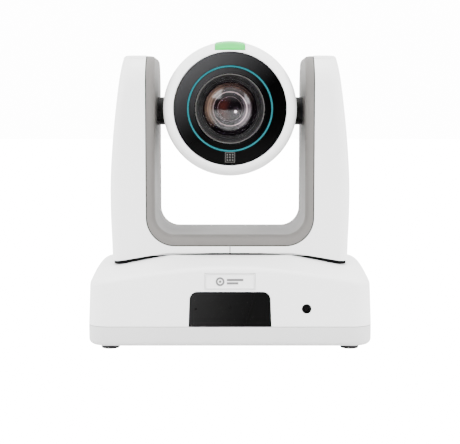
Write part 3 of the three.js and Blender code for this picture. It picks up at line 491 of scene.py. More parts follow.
def make_painted_glint_group():
    """Painted reflections and highlights of a coated lens in a bright room: crescents, thin rings and one hot
    spot, painted into colour.
    """
    group, given, made = new_group("painted_coating_glints", {
        "Axis Height": 0.152, "Ring Radius": 0.011, "Edge": 0.0175}, ["Colour"])
    axes = axes_of(group, object_place(group))
    x, z = axes["X"], combine(group, "SUBTRACT", axes["Z"], given["Axis Height"])
    radius = length_of(group, x, z)
    reach = combine(group, "DIVIDE", radius, given["Edge"])
    span = combine(group, "MAXIMUM", radius, 0.5 * MM)
    right = combine(group, "DIVIDE", x, span)
    rise = combine(group, "DIVIDE", z, span)

    def hump(value, centre, width):
        """One smooth hump of a value about its centre."""
        away = combine(group, "ABSOLUTE", combine(group, "SUBTRACT", value, centre))
        return remap(group, away, 0.0, width, 1.0, 0.0, "SMOOTHSTEP")

    def toward(value, lean, start, end):
        """How far a bearing lies toward one side, from none at the start to all at the end."""
        return remap(group, plus(group, value, times(group, rise, lean)), start, end, 0.0, 1.0)
    painted_groove_bands = remap(group, combine(group, "SINE", times(group, reach, 70.0)), -1.0, 1.0, 0.55, 1.0)
    leftward = toward(right, -0.25, -0.45, -1.0)
    low_right = toward(right, -0.2, 0.45, 1.0)
    red_side = toward(right, 0.0, 0.2, -0.8)
    upward = toward(rise, 0.0, 0.2, 1.0)
    ring_light = remap(group, right, -1.0, 1.0, 0.35, 1.0)
    ring_reach = combine(group, "DIVIDE", given["Ring Radius"], given["Edge"])
    inner_ring = hump(reach, times(group, ring_reach, 0.72), 0.020)
    hot = length_of(group, plus(group, x, -3.6 * MM), plus(group, z, 1.8 * MM))
    # Each layer is a painted reflection or highlight: its colour and the masks that place it.
    layers = (
        ((0.12, 0.078, 0.058, 1), (hump(reach, 0.80, 0.22), leftward, painted_groove_bands)),
        ((0.035, 0.022, 0.018, 1), (hump(reach, 0.85, 0.20), upward, painted_groove_bands)),
        ((0.12, 0.095, 0.11, 1), (hump(reach, 0.66, 0.20), low_right, painted_groove_bands)),
        ((0.016, 0.003, 0.002, 1), (hump(reach, 0.30, 0.30), red_side)),
        ((0.36, 0.27, 0.28, 1), (hump(reach, ring_reach, 0.026), ring_light)),
        ((0.06, 0.045, 0.05, 1), (inner_ring, 0.7)),
        ((0.012, 0.008, 0.012, 1), (hump(hot, 0.0, 3.6 * MM), 0.7)),
        ((1.2, 1.05, 1.15, 1), (hump(hot, 0.0, 1.3 * MM),)),
    )
    tint = (0.0012, 0.0007, 0.0009, 1)
    for colour, masks in layers:
        lit = blend_colours(group, times(group, *masks), (0, 0, 0, 1), colour)
        tint = blend_colours(group, 1.0, tint, lit, "ADD")
    return finish_group(group, made, Colour=tint)


MOULDING = make_moulding_group()
PAINTED_REFLECTION = make_painted_reflection_group()
PAINTED_GLINTS = make_painted_glint_group()
MACHINED = make_turned_group()


def principled(name, **constants):
    material = bpy.data.materials.new(name)
    material.use_nodes = True
    tree = material.node_tree
    shader = tree.nodes["Principled BSDF"]
    for label, value in constants.items():
        shader.inputs[label.replace("_", " ")].default_value = value
    return material, tree, shader


def place_group(tree, group, **values):
    node = add(tree, "ShaderNodeGroup", node_tree=group)
    for label, value in values.items():
        node.inputs[label.replace("_", " ")].default_value = value
    return node.outputs


def wire(tree, shader, made, bump, distance):
    """Joins a group's colour, roughness and relief to the shader."""
    feed(tree, shader.inputs["Base Color"], made["Colour"])
    feed(tree, shader.inputs["Roughness"], made["Roughness"])
    relief = add(tree, "ShaderNodeBump")
    relief.inputs["Strength"].default_value = bump
    relief.inputs["Distance"].default_value = distance
    feed(tree, relief.inputs["Height"], made["Height"])
    feed(tree, shader.inputs["Normal"], relief.outputs["Normal"])


def wear(tree, shader, scale, low, high):
    """Faint smears that make the shine uneven; gives the smears back."""
    smears = noise(tree, object_place(tree), scale)
    feed(tree, shader.inputs["Roughness"], remap(tree, smears, 0.3, 0.7, low, high))
    return smears


def moulded(name, colour, roughness, shade=0.03, bump=0.12, grain=2200.0, **constants):
    material, tree, shader = principled(name, **constants)
    made = place_group(tree, MOULDING, Colour=(*colour, 1), Shade=shade, Roughness=roughness,
                       Grain_Scale=grain)
    wire(tree, shader, made, bump, 0.02 * MM)
    return material


def machined(name, colour, roughness):
    material, tree, shader = principled(name, Metallic=1.0)
    wire(tree, shader, place_group(tree, MACHINED, Colour=(*colour, 1), Roughness=roughness),
         0.15, 0.01 * MM)
    return material


# A black look whose base colour carries a painted reflection from the painted reflection group; only its roughness
# comes from smears.
def painted_reflection_look(name, lit, across, up, shift, roughness):
    material, tree, shader = principled(name, Specular_IOR_Level=0.03)
    made = place_group(tree, PAINTED_REFLECTION, Lit=(*lit, 1), Across=across, Up=up, Shift=shift)
    feed(tree, shader.inputs["Base Color"], made["Colour"])
    wear(tree, shader, 45.0, roughness * 0.7, roughness * 1.4)
    return material


def make_painted_lens_glints():
    # Painted glints: the painted reflections go into both base and emission colour, so the inner element glows
    # though it is no lamp.
    material, tree, shader = principled("lens_painted_glints", Emission_Strength=0.8, Roughness=0.08)
    made = place_group(tree, PAINTED_GLINTS, Axis_Height=lens_height)
    for label in ("Base Color", "Emission Color"):
        feed(tree, shader.inputs[label], made["Colour"])
    return material


def glowing(name, colour, strength):
    """A lit light guide: a tinted body, brighter in patches where its lamps sit behind it."""
    material, tree, shader = principled(name, Emission_Strength=strength, Roughness=0.3,
                                        Specular_IOR_Level=0.12)
    patches = noise(tree, object_place(tree), 90.0, 2.0)
    tint = blend_colours(tree, 1.0, (*colour, 1), remap(tree, patches, 0.3, 0.7, 0.86, 1.0), "MULTIPLY")
    for label in ("Base Color", "Emission Color"):
        feed(tree, shader.inputs[label], tint)
    return material


def make_glass():
    """Coated optical glass: nearly clear, with a soft sheen and faint smears."""
    material, tree, shader = principled("coated_glass", IOR=1.5, Alpha=0.015, Coat_Weight=0.04,
                                        Coat_Roughness=0.02)
    smears = wear(tree, shader, 60.0, 0.01, 0.06)
    tint = blend_colours(tree, smears, (0.02, 0.015, 0.03, 1), (0.03, 0.02, 0.04, 1))
    feed(tree, shader.inputs["Base Color"], tint)
    return material


WHITE = moulded("white_abs", (0.82, 0.82, 0.818), 0.36, 0.02, Specular_IOR_Level=0.45)
# Painted shade: the tray is a darker copy of the white moulding, standing in for the lower light it gets.
TRAY_WHITE_PAINTED_SHADE = moulded("white_abs_tray_painted_shade", (0.57, 0.57, 0.568), 0.42, 0.02)
SILVER = moulded("silver_paint", (0.12, 0.114, 0.108), 0.5, 0.04, 0.08, 3500.0,
                 Specular_IOR_Level=0.18)
BLACK = moulded("black_moulding", (0.0035, 0.0034, 0.0033), 0.45, 0.2, Specular_IOR_Level=0.1)
# Painted reflection on the glossy black front disc: its colour is lighter towards the upper left.
GLOSS_PAINTED_REFLECTION = painted_reflection_look("gloss_black_painted_reflection", (0.075, 0.075, 0.078), -8.0, 11.0, -1.62, 0.07)
# Painted reflection on the smoked window: its colour is lighter towards the left.
SMOKED_PAINTED_REFLECTION = painted_reflection_look("smoked_window", (0.010, 0.010, 0.010), -19.0, 6.0, 0.15, 0.10)
PAINTED_LENS_GLINTS = make_painted_lens_glints()
MARK = moulded("badge_print", (0.12, 0.12, 0.12), 0.4, 0.1)
PALE_LINE = moulded("frame_print", (0.36, 0.36, 0.36), 0.4, 0.1)
PRINT = moulded("grey_print", (0.045, 0.043, 0.040), 0.5, 0.2)
# Dark felt for the window dots, microphone grommet and capsule; on the gap skirt it is painted shade.
FELT_AND_PAINTED_SHADE = moulded("dark_felt_and_painted_shade", (0.0025, 0.0025, 0.0025), 0.9, 0.3, 0.3, 1500.0,
               Specular_IOR_Level=0.05)
RUBBER = moulded("rubber", (0.016, 0.016, 0.016), 0.75, 0.3, 0.35, 1200.0)
STEEL = machined("plated_steel", (0.55, 0.56, 0.57), 0.3)
BRASS = machined("turned_brass", (0.70, 0.52, 0.24), 0.3)
ALUMINIUM = machined("machined_aluminium", (0.72, 0.73, 0.74), 0.32)
BOARD = moulded("solder_mask", (0.02, 0.13, 0.05), 0.35, 0.25, 0.3, 700.0)
MOTOR = moulded("motor_lacquer", (0.02, 0.02, 0.022), 0.35, 0.2, Metallic=0.3)
CYAN = glowing("cyan_light_guide", (0.004, 0.085, 0.10), 0.25)
GREEN = glowing("green_light_guide", (0.0003, 0.16, 0.020), 8.0)
GLASS = make_glass()
RED = moulded("tinted_lamp", (0.12, 0.006, 0.006), 0.2, 0.2)


# ---- base
SEAM = housing_low.z - JOINT_GAP / 2
TRAY_TOP = SEAM - JOINT_GAP / 2
SHOULDER_STEPS = 10
DECK_STEPS = 4
SHAFT_HOLE = 14.3 * MM


def deck_level(x, y):
    """Height of the deck: flat in the middle, then a shallow cone down to the shoulder."""
    return deck_height - max(0, math.hypot(x, y) - DECK_RADIUS) * math.tan(DECK_SLOPE)


def base_outline(inset):
    return rounded_outline(base_half_x - inset, base_half_y - inset,
                           max(BASE_CORNER - inset, 2 * MM), 12, 36, 28)


def on_deck(point, drop):
    return Vector((point[0], point[1], deck_level(point[0], point[1]) - drop))


def toward_circle(point, radius, share):
    """A point part of the way from the outline to the circle at its own bearing."""
    scale = radius / math.hypot(point[0], point[1])
    return (point[0] + (point[0] * scale - point[0]) * share,
            point[1] + (point[1] * scale - point[1]) * share)


def housing_rings(wall):
    """Rings of the housing's skin from the seam to the deck, set in by the wall."""
    foot = base_outline(wall)
    rings = [[Vector((p[0], p[1], housing_low.z)) for p in foot]]
    corner = []
    for p in foot:
        lean = (deck_level(p[0], p[1]) - SEAM) * math.tan(BASE_DRAFT)
        x, y = p[0] - p[2] * lean, p[1] - p[3] * lean
        corner.append((x, y, deck_level(x, y) - wall, p[2], p[3]))
    edge = max(SHOULDER_REACH - wall, 1.5 * MM)
    starts = [Vector((c[0] + c[3] * edge * math.tan(BASE_DRAFT),
                      c[1] + c[4] * edge * math.tan(BASE_DRAFT), c[2] - edge)) for c in corner]
    ends = [on_deck((c[0] - c[3] * edge, c[1] - c[4] * edge), wall) for c in corner]
    for share in (0.5, 0.96):
        rings.append([foot_point.lerp(start, share)
                      for foot_point, start in zip(rings[0], starts)])
    for step in range(SHOULDER_STEPS + 1):
        t = step / SHOULDER_STEPS
        ring = []
        for start, c, end in zip(starts, corner, ends):
            pull = Vector(c[:3])
            ring.append(start * (1 - t) ** 2 + pull * 2 * t * (1 - t) + end * t * t)
        rings.append(ring)
    for step in range(1, DECK_STEPS + 1):
        share = step / DECK_STEPS
        rings.append([on_deck(toward_circle(end, DECK_RADIUS, share), wall) for end in ends])
    for radius in (DECK_RADIUS - 1 * MM, SHAFT_HOLE + 3 * MM, SHAFT_HOLE):
        rings.append([on_deck(toward_circle(end, radius, 1), wall) for end in ends])
    return rings


def make_housing():
    outer, inner = housing_rings(0), housing_rings(WALL)
    piece = drawn_up("housing_moulding", outer + inner[::-1] + outer[:1], close=False)
    window_hole = wall_plate("window_hole", WINDOW_GROWTH, 8 * MM, -4 * MM)
    badge_seat = badge_plate("badge_seat", JOINT_GAP, 1.4 * MM, -0.8 * MM)
    bush_hole = rod("bush_hole", MIC_BUSH + JOINT_GAP / 2, -6 * MM, 6 * MM, FORWARD,
                    (MIC_X, -base_half_y, MIC_Z))
    bay = block("connector_bay", (-BAY_HALF, base_half_y - 6 * MM, BAY_LOW),
                (BAY_HALF, base_half_y + 2 * MM, BAY_HIGH))
    carve(piece, window_hole, badge_seat, bush_hole, bay)
    soften(piece, 0.25 * MM, 2, 40)
    return smooth(piece, 30)


# front fittings
WINDOW_FOOT = 25.85 * MM
WINDOW_TOP = 25 * MM
WINDOW_HEIGHT = 21.6 * MM
WINDOW_LIFT = 0.3 * MM
WINDOW_ROUND = 4.5 * MM
WINDOW_SET_BACK = 0.1 * MM
WINDOW_THICKNESS = 2.2 * MM
WINDOW_GROWTH = 0.3 * MM
BADGE_HALF_X = 15.75 * MM
BADGE_HALF_Z = 5 * MM
BADGE_Z = 44.2 * MM
MIC_X = 48.1 * MM
MIC_Z = 27 * MM
MIC_BUSH = 2.9 * MM
MIC_BORE = 2.3 * MM
BAY_HALF = 64 * MM
BAY_LOW = 20.5 * MM
BAY_HIGH = 38.5 * MM


def lean_back(piece, proud):
    """Sets a plate modelled in the XZ plane against the leaning front wall."""
    bake_place(piece, move=(0, -proud, 0))
    return bake_place(piece, (-BASE_DRAFT, 0, 0), (0, -base_half_y, SEAM))


def wall_plate(name, growth, thickness, start):
    """The window's outline; with growth it is the window's hole, which runs out at the seam."""
    low = WINDOW_LIFT - (2 * MM if growth else 0)
    high = WINDOW_LIFT + WINDOW_HEIGHT + growth
    corners = [(-WINDOW_FOOT - growth, low), (WINDOW_FOOT + growth, low),
               (WINDOW_TOP + growth, high), (-WINDOW_TOP - growth, high)]
    piece = plate(name, corners, thickness, WINDOW_ROUND + growth, (2, 3))
    return lean_back(piece, -start)


def badge_plate(name, growth, thickness, start):
    x, z, middle = BADGE_HALF_X + growth, BADGE_HALF_Z + growth, BADGE_Z - SEAM
    corners = [(-x, middle - z), (x, middle - z), (x, middle + z), (-x, middle + z)]
    piece = plate(name, corners, thickness, 0.8 * MM, (0, 1, 2, 3), 4)
    return lean_back(piece, -start)


def make_window():
    piece = wall_plate("smoked_window", 0, WINDOW_THICKNESS, WINDOW_SET_BACK)
    soften(piece, 0.35 * MM, 3, 40)
    return smooth(piece, 35)


def make_window_dots():
    """Two small round lenses that show through the smoked window."""
    dots = [turned("window_dot", [(0, 0), (radius, 0), (radius * 0.8, 0.07 * MM), (0, 0.1 * MM)],
                   FORWARD, (x, 0, z - SEAM), 32)
            for x, z, radius in ((-21.5 * MM, 26.8 * MM, 0.7 * MM), (0, 27.9 * MM, 0.9 * MM))]
    piece = join_all("window_dots", dots)
    lean_back(piece, 0)
    return smooth(piece, 40)


def make_badge():
    """The raised name badge: a framed plate that carries a plain lens mark and a bar."""
    piece = badge_plate("badge_plate", 0, 1 * MM, -0.3 * MM)
    recess = badge_plate("badge_recess", -0.9 * MM, 0.5 * MM, -0.5 * MM)
    carve(piece, recess)
    soften(piece, 0.12 * MM, 2, 40)
    return smooth(piece, 30)


def printed_bar(low_x, low_z, high_x, high_z, middle, thickness, rounding):
    """One printed bar, from corner to corner in millimetres about a middle height."""
    corners = [(x * MM, middle + z * MM) for x, z in
               ((low_x, low_z), (high_x, low_z), (high_x, high_z), (low_x, high_z))]
    bar = plate("printed_bar", corners, thickness, rounding, (0, 1, 2, 3), 2)
    return bake_place(bar, move=(0, -thickness / 2, 0))


def printed_frame(half_x, half_z, line, *look):
    """Four printed bars round a rectangle."""
    inner = half_z - line
    return [printed_bar(-half_x, -half_z, half_x, -inner, *look),
            printed_bar(-half_x, inner, half_x, half_z, *look),
            printed_bar(-half_x, -inner, line - half_x, inner, *look),
            printed_bar(half_x - line, -inner, half_x, inner, *look)]


BADGE_PRINT = (BADGE_Z - SEAM, 0.2 * MM, 0.12 * MM)


def make_badge_marks():
    """A generic mark: a lens ring with its pupil beside two bars."""
    centre = (-6.2 * MM, 0.1 * MM, BADGE_Z - SEAM)
    ring = turned("mark_ring", in_metres([(1.6, 0), (2.8, 0), (2.8, 0.2), (1.6, 0.2)]), FORWARD,
                  centre, 48)
    pupil = rod("mark_pupil", 0.85 * MM, 0, 0.2 * MM, FORWARD, centre, 32)
    bars = [printed_bar(-2.0, 0.35, 8.4, 1.75, *BADGE_PRINT),
            printed_bar(-2.0, -1.75, 5.2, -0.35, *BADGE_PRINT)]
    marks = join_all("badge_marks", [ring, pupil, *bars])
    lean_back(marks, 0.04 * MM)
    return smooth(marks, 35)


def make_badge_frame():
    border = join_all("badge_frame", printed_frame(15.3, 4.6, 0.28, *BADGE_PRINT))
    lean_back(border, 0.24 * MM)
    return smooth(border, 35)


def make_bush():
    lean = (MIC_Z - SEAM) * math.tan(BASE_DRAFT)
    face = 0.05 * MM
    profile = [(MIC_BORE, -2.4 * MM), (MIC_BUSH, -2.4 * MM), (MIC_BUSH, face - 0.2 * MM),
               (MIC_BUSH - 0.15 * MM, face), (MIC_BORE + 0.15 * MM, face), (MIC_BORE, face - 0.2 * MM)]
    piece = turned("microphone_grommet", profile, FORWARD, (MIC_X, -base_half_y + lean, MIC_Z), 48)
    return smooth(piece, 30)


def make_tray():
    def ring(inset, height):
        return [Vector((p[0], p[1], height)) for p in base_outline(inset)]
    bottom = tray_low.z
    rings = [ring(TRAY_EDGE * 1.02, bottom)]
    for step in range(9):
        angle = step / 8 * math.pi / 2
        rings.append(ring(TRAY_EDGE * (1 - math.sin(angle)), bottom + TRAY_EDGE * (1 - math.cos(angle))))
    rings += [ring(0, bottom + TRAY_EDGE + 1 * MM), ring(0, TRAY_TOP - 0.25 * MM),
              ring(0.25 * MM, TRAY_TOP), ring(WALL - 0.2 * MM, TRAY_TOP),
              ring(WALL, TRAY_TOP - 0.2 * MM), ring(WALL, bottom + 4 * MM),
              ring(TRAY_EDGE, bottom + WALL)]
    piece = drawn_up("tray_moulding", rings)
    carve(piece, *wall_relief())
    return smooth(piece, 32)


def wall_relief():
    """Ventilation slots through the floor of the tray, and the tripod insert's hole."""
    slot = block("floor_slot", (-1.1 * MM, -16 * MM, 0), (1.1 * MM, 16 * MM, 8 * MM))
    places = [(side * (34 + number * 7) * MM, 0, 0) for side in (-1, 1) for number in range(5)]
    return [rod("insert_hole", 6.3 * MM, -1 * MM, 9 * MM, centre=(0, 0, tray_low.z)),
            *repeated(slot, places)]


def make_foot():
    """The front left foot, which the other three are copied from."""
    low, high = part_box("foot_front_left")
    radius = (high.x - low.x) / 2
    height = high.z - low.z
    profile = [(0, 0.25 * MM), (radius * 0.55, 0.25 * MM), (radius * 0.6, 0), (radius - 0.8 * MM, 0),
               (radius - 0.4 * MM, 0.15 * MM), (radius - 0.15 * MM, 0.6 * MM), (radius, height - 0.5 * MM),
               (radius - 0.2 * MM, height), (0, height)]
    centre = ((low.x + high.x) / 2, (low.y + high.y) / 2, low.z)
    return smooth(turned("foot_front_left_pad", profile, UP, centre, 48), 35)


# ---- yoke
def yoke_half_width(height):
    belly = yoke_top - BELLY_BELOW_TOP
    if height > belly:
        return belly_half - (belly_half - TOP_HALF) * ((height - belly) / BELLY_BELOW_TOP) ** 1.6
    return belly_half - (belly_half - FOOT_HALF) * ((belly - height) / FOOT_BELOW_BELLY) ** 2


def yoke_depth_at(height):
    start = yoke_top - YOKE_CROWN
    if height <= start:
        return yoke_half_depth
    rise = min(height - start, YOKE_CROWN)
    return yoke_half_depth - YOKE_CROWN + math.sqrt(max(YOKE_CROWN ** 2 - rise ** 2, 0))


def yoke_underside(x, y):
    return YOKE_BOTTOM - max(0, math.hypot(x, y) - YOKE_FLAT) * math.tan(YOKE_SLOPE)


def yoke_ring(height, inset):
    outline = rounded_outline(yoke_half_width(height) - inset, yoke_depth_at(height) - inset,
                              YOKE_EDGE - inset, 12, 24, 16)
    return [Vector((p[0], p[1], height)) for p in outline]


def yoke_body(name, inset):
    """The whole outside of the yoke as one solid, or the hollow inside it."""
    rings = []
    first = yoke_ring(YOKE_BOTTOM + 1.5 * MM, inset)
    if not inset:
        rings.append([Vector((p.x * 0.994, p.y * 0.994, yoke_underside(p.x, p.y))) for p in first])
    rings.append([Vector((p.x, p.y, yoke_underside(p.x, p.y) + inset + FOOT_ROUND)) for p in first])
    heights = [(66 + 8 * step) * MM for step in range(13)]
    heights += [yoke_top - YOKE_CROWN + (YOKE_CROWN - YOKE_CAP) * math.sin(step / 12 * math.pi / 2)
                for step in range(1, 13)]
    rings += [yoke_ring(height, inset) for height in heights if height < yoke_top - inset * 1.2]
    if not inset:
        edge = yoke_top - YOKE_CAP
        for step in range(1, 6):
            angle = step / 5 * math.pi / 2
            rise = YOKE_CAP * math.sin(angle)
            rings.append([Vector((p.x, p.y, edge + rise))
                          for p in yoke_ring(edge, YOKE_CAP * (1 - math.cos(angle)))])
    return drawn_up(name, rings)


def make_cover():
    """The right-hand outer cover; its twin is mirrored from it."""
    piece = yoke_body("yoke_cover_moulding", 0)
    hollow = yoke_body("yoke_hollow", WALL)
    gap = JOINT_GAP / 2
    corners = [(-SEAM_HALF - gap, SEAM_FLOOR - gap), (SEAM_HALF + gap, SEAM_FLOOR - gap),
               (SEAM_HALF + gap, yoke_top + 5 * MM), (-SEAM_HALF - gap, yoke_top + 5 * MM)]
    opening = plate("yoke_opening", corners, 100 * MM, SEAM_CORNER + gap, (0, 1), 24)
    bake_place(opening, move=(0, -50 * MM, 0))
    shaft = rod("turntable_hole", 28.3 * MM, YOKE_BOTTOM - 5 * MM, YOKE_BOTTOM + 6 * MM, sides=96)
    other_half = block("other_half", (-100 * MM, -60 * MM, 0), (COVER_GAP, 60 * MM, 250 * MM))
    carve(piece, hollow, opening, shaft, other_half)
    soften(piece, 0.3 * MM, 2, 40)
    return smooth(piece, 30)


def hub_hole():
    """A rod right across, to cut the holes that the tilt hubs turn in."""
    return rod("hub_hole", HUB_RADIUS * MM + JOINT_GAP, -70 * MM, 70 * MM, ACROSS, (0, 0, tilt_height), 72)


def liner_path():
    """Stations down one arm, round the floor and up the other: (seam point, inner point)."""
    gap = JOINT_GAP / 2
    top = liner_high.z
    heights = [top]
    heights += [yoke_top - YOKE_CROWN * (1 - math.sin(step / 10 * math.pi / 2)) for step in range(9, -1, -1)]
    heights += [(140 - 14 * step) * MM for step in range(4)]
    right = []
    for height in heights:
        right.append(((SEAM_HALF - gap, height), (INNER_HALF, height)))
    corner_out = arc((SEAM_HALF - SEAM_CORNER, SEAM_FLOOR + SEAM_CORNER), SEAM_CORNER - gap, 0, -90, 20)
    corner_in = arc((INNER_HALF - LINER_CORNER, LINER_FLOOR + LINER_CORNER), LINER_CORNER, 0, -90, 20)
    right += list(zip(corner_out, corner_in))
    left = [((-outer[0], outer[1]), (-inner[0], inner[1])) for outer, inner in reversed(right)]
    return right + left


def liner_section(outer, inner, half_depth):
    """The channel's cross-section at one station: rolled front and rear lips and a plain wall."""
    def at(share, y):
        return Vector((outer[0] + (inner[0] - outer[0]) * share, y,
                       outer[1] + (inner[1] - outer[1]) * share))
    start = 0.09
    points = []
    for step in range(13):
        angle = step / 12 * math.pi / 2
        points.append(at(start + (1 - start) * math.sin(angle),
                         -half_depth + LINER_BEVEL * (1 - math.cos(angle))))
    points += [at(1, -half_depth * 0.6), at(1, 0), at(1, half_depth * 0.6)]
    points += [Vector((p.x, -p.y, p.z)) for p in points[12::-1]]
    back = 0 if outer[1] > liner_high.z - LINER_CAP else 0.6
    points += [at(0, half_depth), at(0, half_depth - 2 * MM), at(back, half_depth - LINER_BEVEL - 2 * MM),
               at(back, -half_depth + LINER_BEVEL + 2 * MM), at(0, -half_depth + 2 * MM), at(0, -half_depth)]
    return points


def make_liner():
    flare = 3 * MM
    rings = []
    for outer, inner in liner_path():
        rise = inner[1] - (liner_high.z - flare)
        if rise > 0:
            spread = flare - math.sqrt(max(flare ** 2 - rise ** 2, 0))
            inner = (math.copysign(abs(inner[0]) + spread * 0.8, inner[0]), inner[1])
        rings.append(liner_section(outer, inner, yoke_depth_at(outer[1])))
    piece = drawn_up("yoke_channel", rings)
    carve(piece, hub_hole())
    return smooth(piece, 30)


def make_painted_shadow_strip():
    """Painted shade: a dark strip at the front of the joint between channel and covers, standing in for the shadow
    in the gap there.
    """
    rings = []
    for outer, inner in liner_path():
        depth = yoke_depth_at(outer[1])
        span = math.hypot(inner[0] - outer[0], inner[1] - outer[1])
        low, high = -0.3 * MM / span, 0.3 * MM / span

        def at(share, y):
            return Vector((outer[0] + (inner[0] - outer[0]) * share, y,
                           min(outer[1] + (inner[1] - outer[1]) * share, liner_high.z - 0.3 * MM)))
        near, far = -depth - 0.03 * MM, 1.6 * MM - depth
        rings.append([at(low, near), at(high, near), at(high, far), at(low, far)])
    return smooth(drawn_up("front_painted_shadow_strip", rings), 40)


def make_painted_shade_skirt():
    """Painted shade: a dark skirt under the yoke, just clear of the deck, that shuts off the gap the yoke turns in
    so the gap reads as shadow.
    """
    clearance = 0.25 * MM

    def ring(scale, share):
        points = []
        for p in yoke_ring(YOKE_BOTTOM + 1.5 * MM, 0.4 * MM):
            x, y = p.x * scale, p.y * scale
            low, high = deck_level(x, y) + clearance, yoke_underside(x, y) - 0.02 * MM
            points.append(Vector((x, y, low + (high - low) * share)))
        return points
    spread = (0.48, 0.6, 0.70, 0.80, 0.9, 0.975)
    rings = [ring(scale, 0) for scale in spread] + [ring(0.993, 0.2), ring(0.993, 1)]
    rings += [ring(scale, 1) for scale in spread[::-1]]
    rings.append(rings[0])
    return smooth(drawn_up("gap_painted_shade_skirt", rings, close=False), 30)


def make_seam_strips():
    """Dark strips behind the joint between the two covers, at the front and the back."""
    strips = []
    for side in (-1, 1):
        y = side * (yoke_half_depth - 1.0 * MM)
        strips.append(block("seam_strip", (-0.28 * MM, y - 1.03 * MM, YOKE_BOTTOM + 1.2 * MM),
                            (0.28 * MM, y + 1.03 * MM, SEAM_FLOOR - 0.4 * MM)))
    piece = join_all("seam_strips", strips)
    soften(piece, 0.05 * MM, 1)
    return smooth(piece, 40)


# ---- head
def on_axis(name, profile, sides=128):
    """A part of the head turned about the optical axis, its heights running forward."""
    return turned(name, in_metres(profile), FORWARD, (0, 0, lens_height), sides)


BEZEL_FRONT = (37.0, 46.0)
BEZEL_PULL = (43.6, 43.6)
BEZEL_BACK = (44.0, 24.15)
LAMP_HALF = 9.5
LAMP_FOOT = 37.5
HUB_RADIUS = 9.4


def make_bezel():
    outside = bezier(BEZEL_FRONT, BEZEL_PULL, BEZEL_BACK, 20)
    profile = [(36.4, 41.0), (36.4, 45.4), (36.5, 45.8), (36.75, 46.0), *outside,
               (43.7, 24.0), (42.0, 24.0), (41.8, 24.3), (41.6, 34.0), (39.0, 41.0)]
    piece = on_axis("bezel_moulding", profile)
    grown = LAMP_HALF + 0.3
    notch = block("lamp_notch", (-grown * MM, -60 * MM, lens_height + (LAMP_FOOT - 0.3) * MM),
                  (grown * MM, -20 * MM, lens_height + 60 * MM))
    carve(piece, notch)
    soften(piece, 0.2 * MM, 2, 40)
    return smooth(piece, 30)


def make_lamp():
    """The signal lamp: a curved light guide let into the crown of the bezel."""
    outside = bezier(BEZEL_FRONT, BEZEL_PULL, BEZEL_BACK, 20)
    grown = [(r + 0.35, f + 0.05) for r, f in outside]
    profile = [(36.9, 45.9), *grown, (41.9, 24.4), (39.5, 40.5), (37.2, 44.0)]
    piece = on_axis("lamp_guide", profile, 256)
    keep = block("lamp_keep", (-LAMP_HALF * MM, -60 * MM, lens_height + LAMP_FOOT * MM),
                 (LAMP_HALF * MM, -24.6 * MM, lens_height + 60 * MM))
    carve(piece, keep, operation="INTERSECT")
    soften(piece, 0.35 * MM, 3, 40)
    return smooth(piece, 30)


def make_shell():
    profile = [(44.0, 23.55), (44.0, 20.0), (44.0, -10.0), (44.0, -17.55), (43.75, -17.8),
               (42.0, -17.8), (41.8, -17.6), (41.8, 23.6), (42.0, 23.8), (43.75, 23.8)]
    piece = on_axis("head_band", profile)
    carve(piece, hub_hole())
    soften(piece, 0.15 * MM, 1, 60)
    return smooth(piece, 30)


def make_rear_cover():
    outside = bezier((44.0, -18.3), (44.0, -48.0), (30.0, -50.0), 22)
    inside = bezier((27.0, -47.8), (41.8, -46.0), (41.8, -18.4), 12)
    profile = [(0, -50.0), (28.0, -50.0), *outside[::-1], (43.8, -18.1), (42.0, -18.1), *inside[::-1],
               (0, -47.8)]
    piece = on_axis("rear_dome", profile)
    slot = plate("vent_slot", in_metres(((-14, -1), (14, -1), (14, 1), (-14, 1))), 8 * MM,
                 0.95 * MM, (0, 1, 2, 3), 6)
    carve(piece, *repeated(slot, [(0, 45 * MM, lens_height + row * 6 * MM) for row in range(-2, 3)]))
    soften(piece, 0.3 * MM, 2, 40)
    return smooth(piece, 30)


def make_front_panel():
    profile = [(22.6, 43.2), (36.1, 43.2), (36.1, 44.9), (35.9, 45.2), (27.95, 45.2), (27.85, 45.1),
               (27.85, 44.2), (26.2, 44.2), (26.2, 45.1), (26.1, 45.2), (22.9, 45.2), (22.6, 44.9)]
    return smooth(on_axis("front_disc", profile, 160), 30)


def make_light_ring():
    profile = [(26.5, 44.5), (27.55, 44.5), (27.55, 45.15), (27.4, 45.25), (26.65, 45.25), (26.5, 45.15)]
    return smooth(on_axis("light_guide_ring", profile, 160), 30)


def make_barrel():
    """The lens barrel: a bright rim, then blackened steps down to the optical bore."""
    profile = [(22.3, -8.0), (22.3, 44.7), (22.0, 45.0), (21.7, 45.0), (21.4, 44.7), (21.4, 42.6),
               (20.9, 42.2), (20.9, 38.6), (20.2, 38.2), (20.2, 36.8), (19.0, 36.2), (19.0, 34.6),
               (17.8, 34.0), (17.8, 32.4), (16.6, 31.8), (16.6, 30.2), (15.4, 29.6), (15.4, 28.0),
               (14.2, 27.4), (14.2, -8.0)]
    return smooth(on_axis("barrel_tube", profile, 128), 30)


def make_front_glass():
    """The front element: a meniscus with a ground edge."""
    front = [(radius, 44.4 - (radius / 20.6) ** 2 * 2.4) for radius in
             [20.6 * step / 12 for step in range(12, -1, -1)]]
    rear = [(radius, 41.2 - (radius / 20.6) ** 2 * 1.9) for radius in
            [20.6 * step / 10 for step in range(11)]]
    return smooth(on_axis("front_element", [*rear, *front], 96), 40)


def make_inner_glass():
    """The second element, whose coated dome fills the throat of the barrel."""
    edge, rise = 17.4, 3.4
    front = [(edge * step / 14, 36.6 - (step / 14) ** 2 * rise) for step in range(14, -1, -1)]
    return smooth(on_axis("inner_element", [(0, 31.2), (edge - 0.4, 31.2), (edge, 31.6), *front], 96), 50)


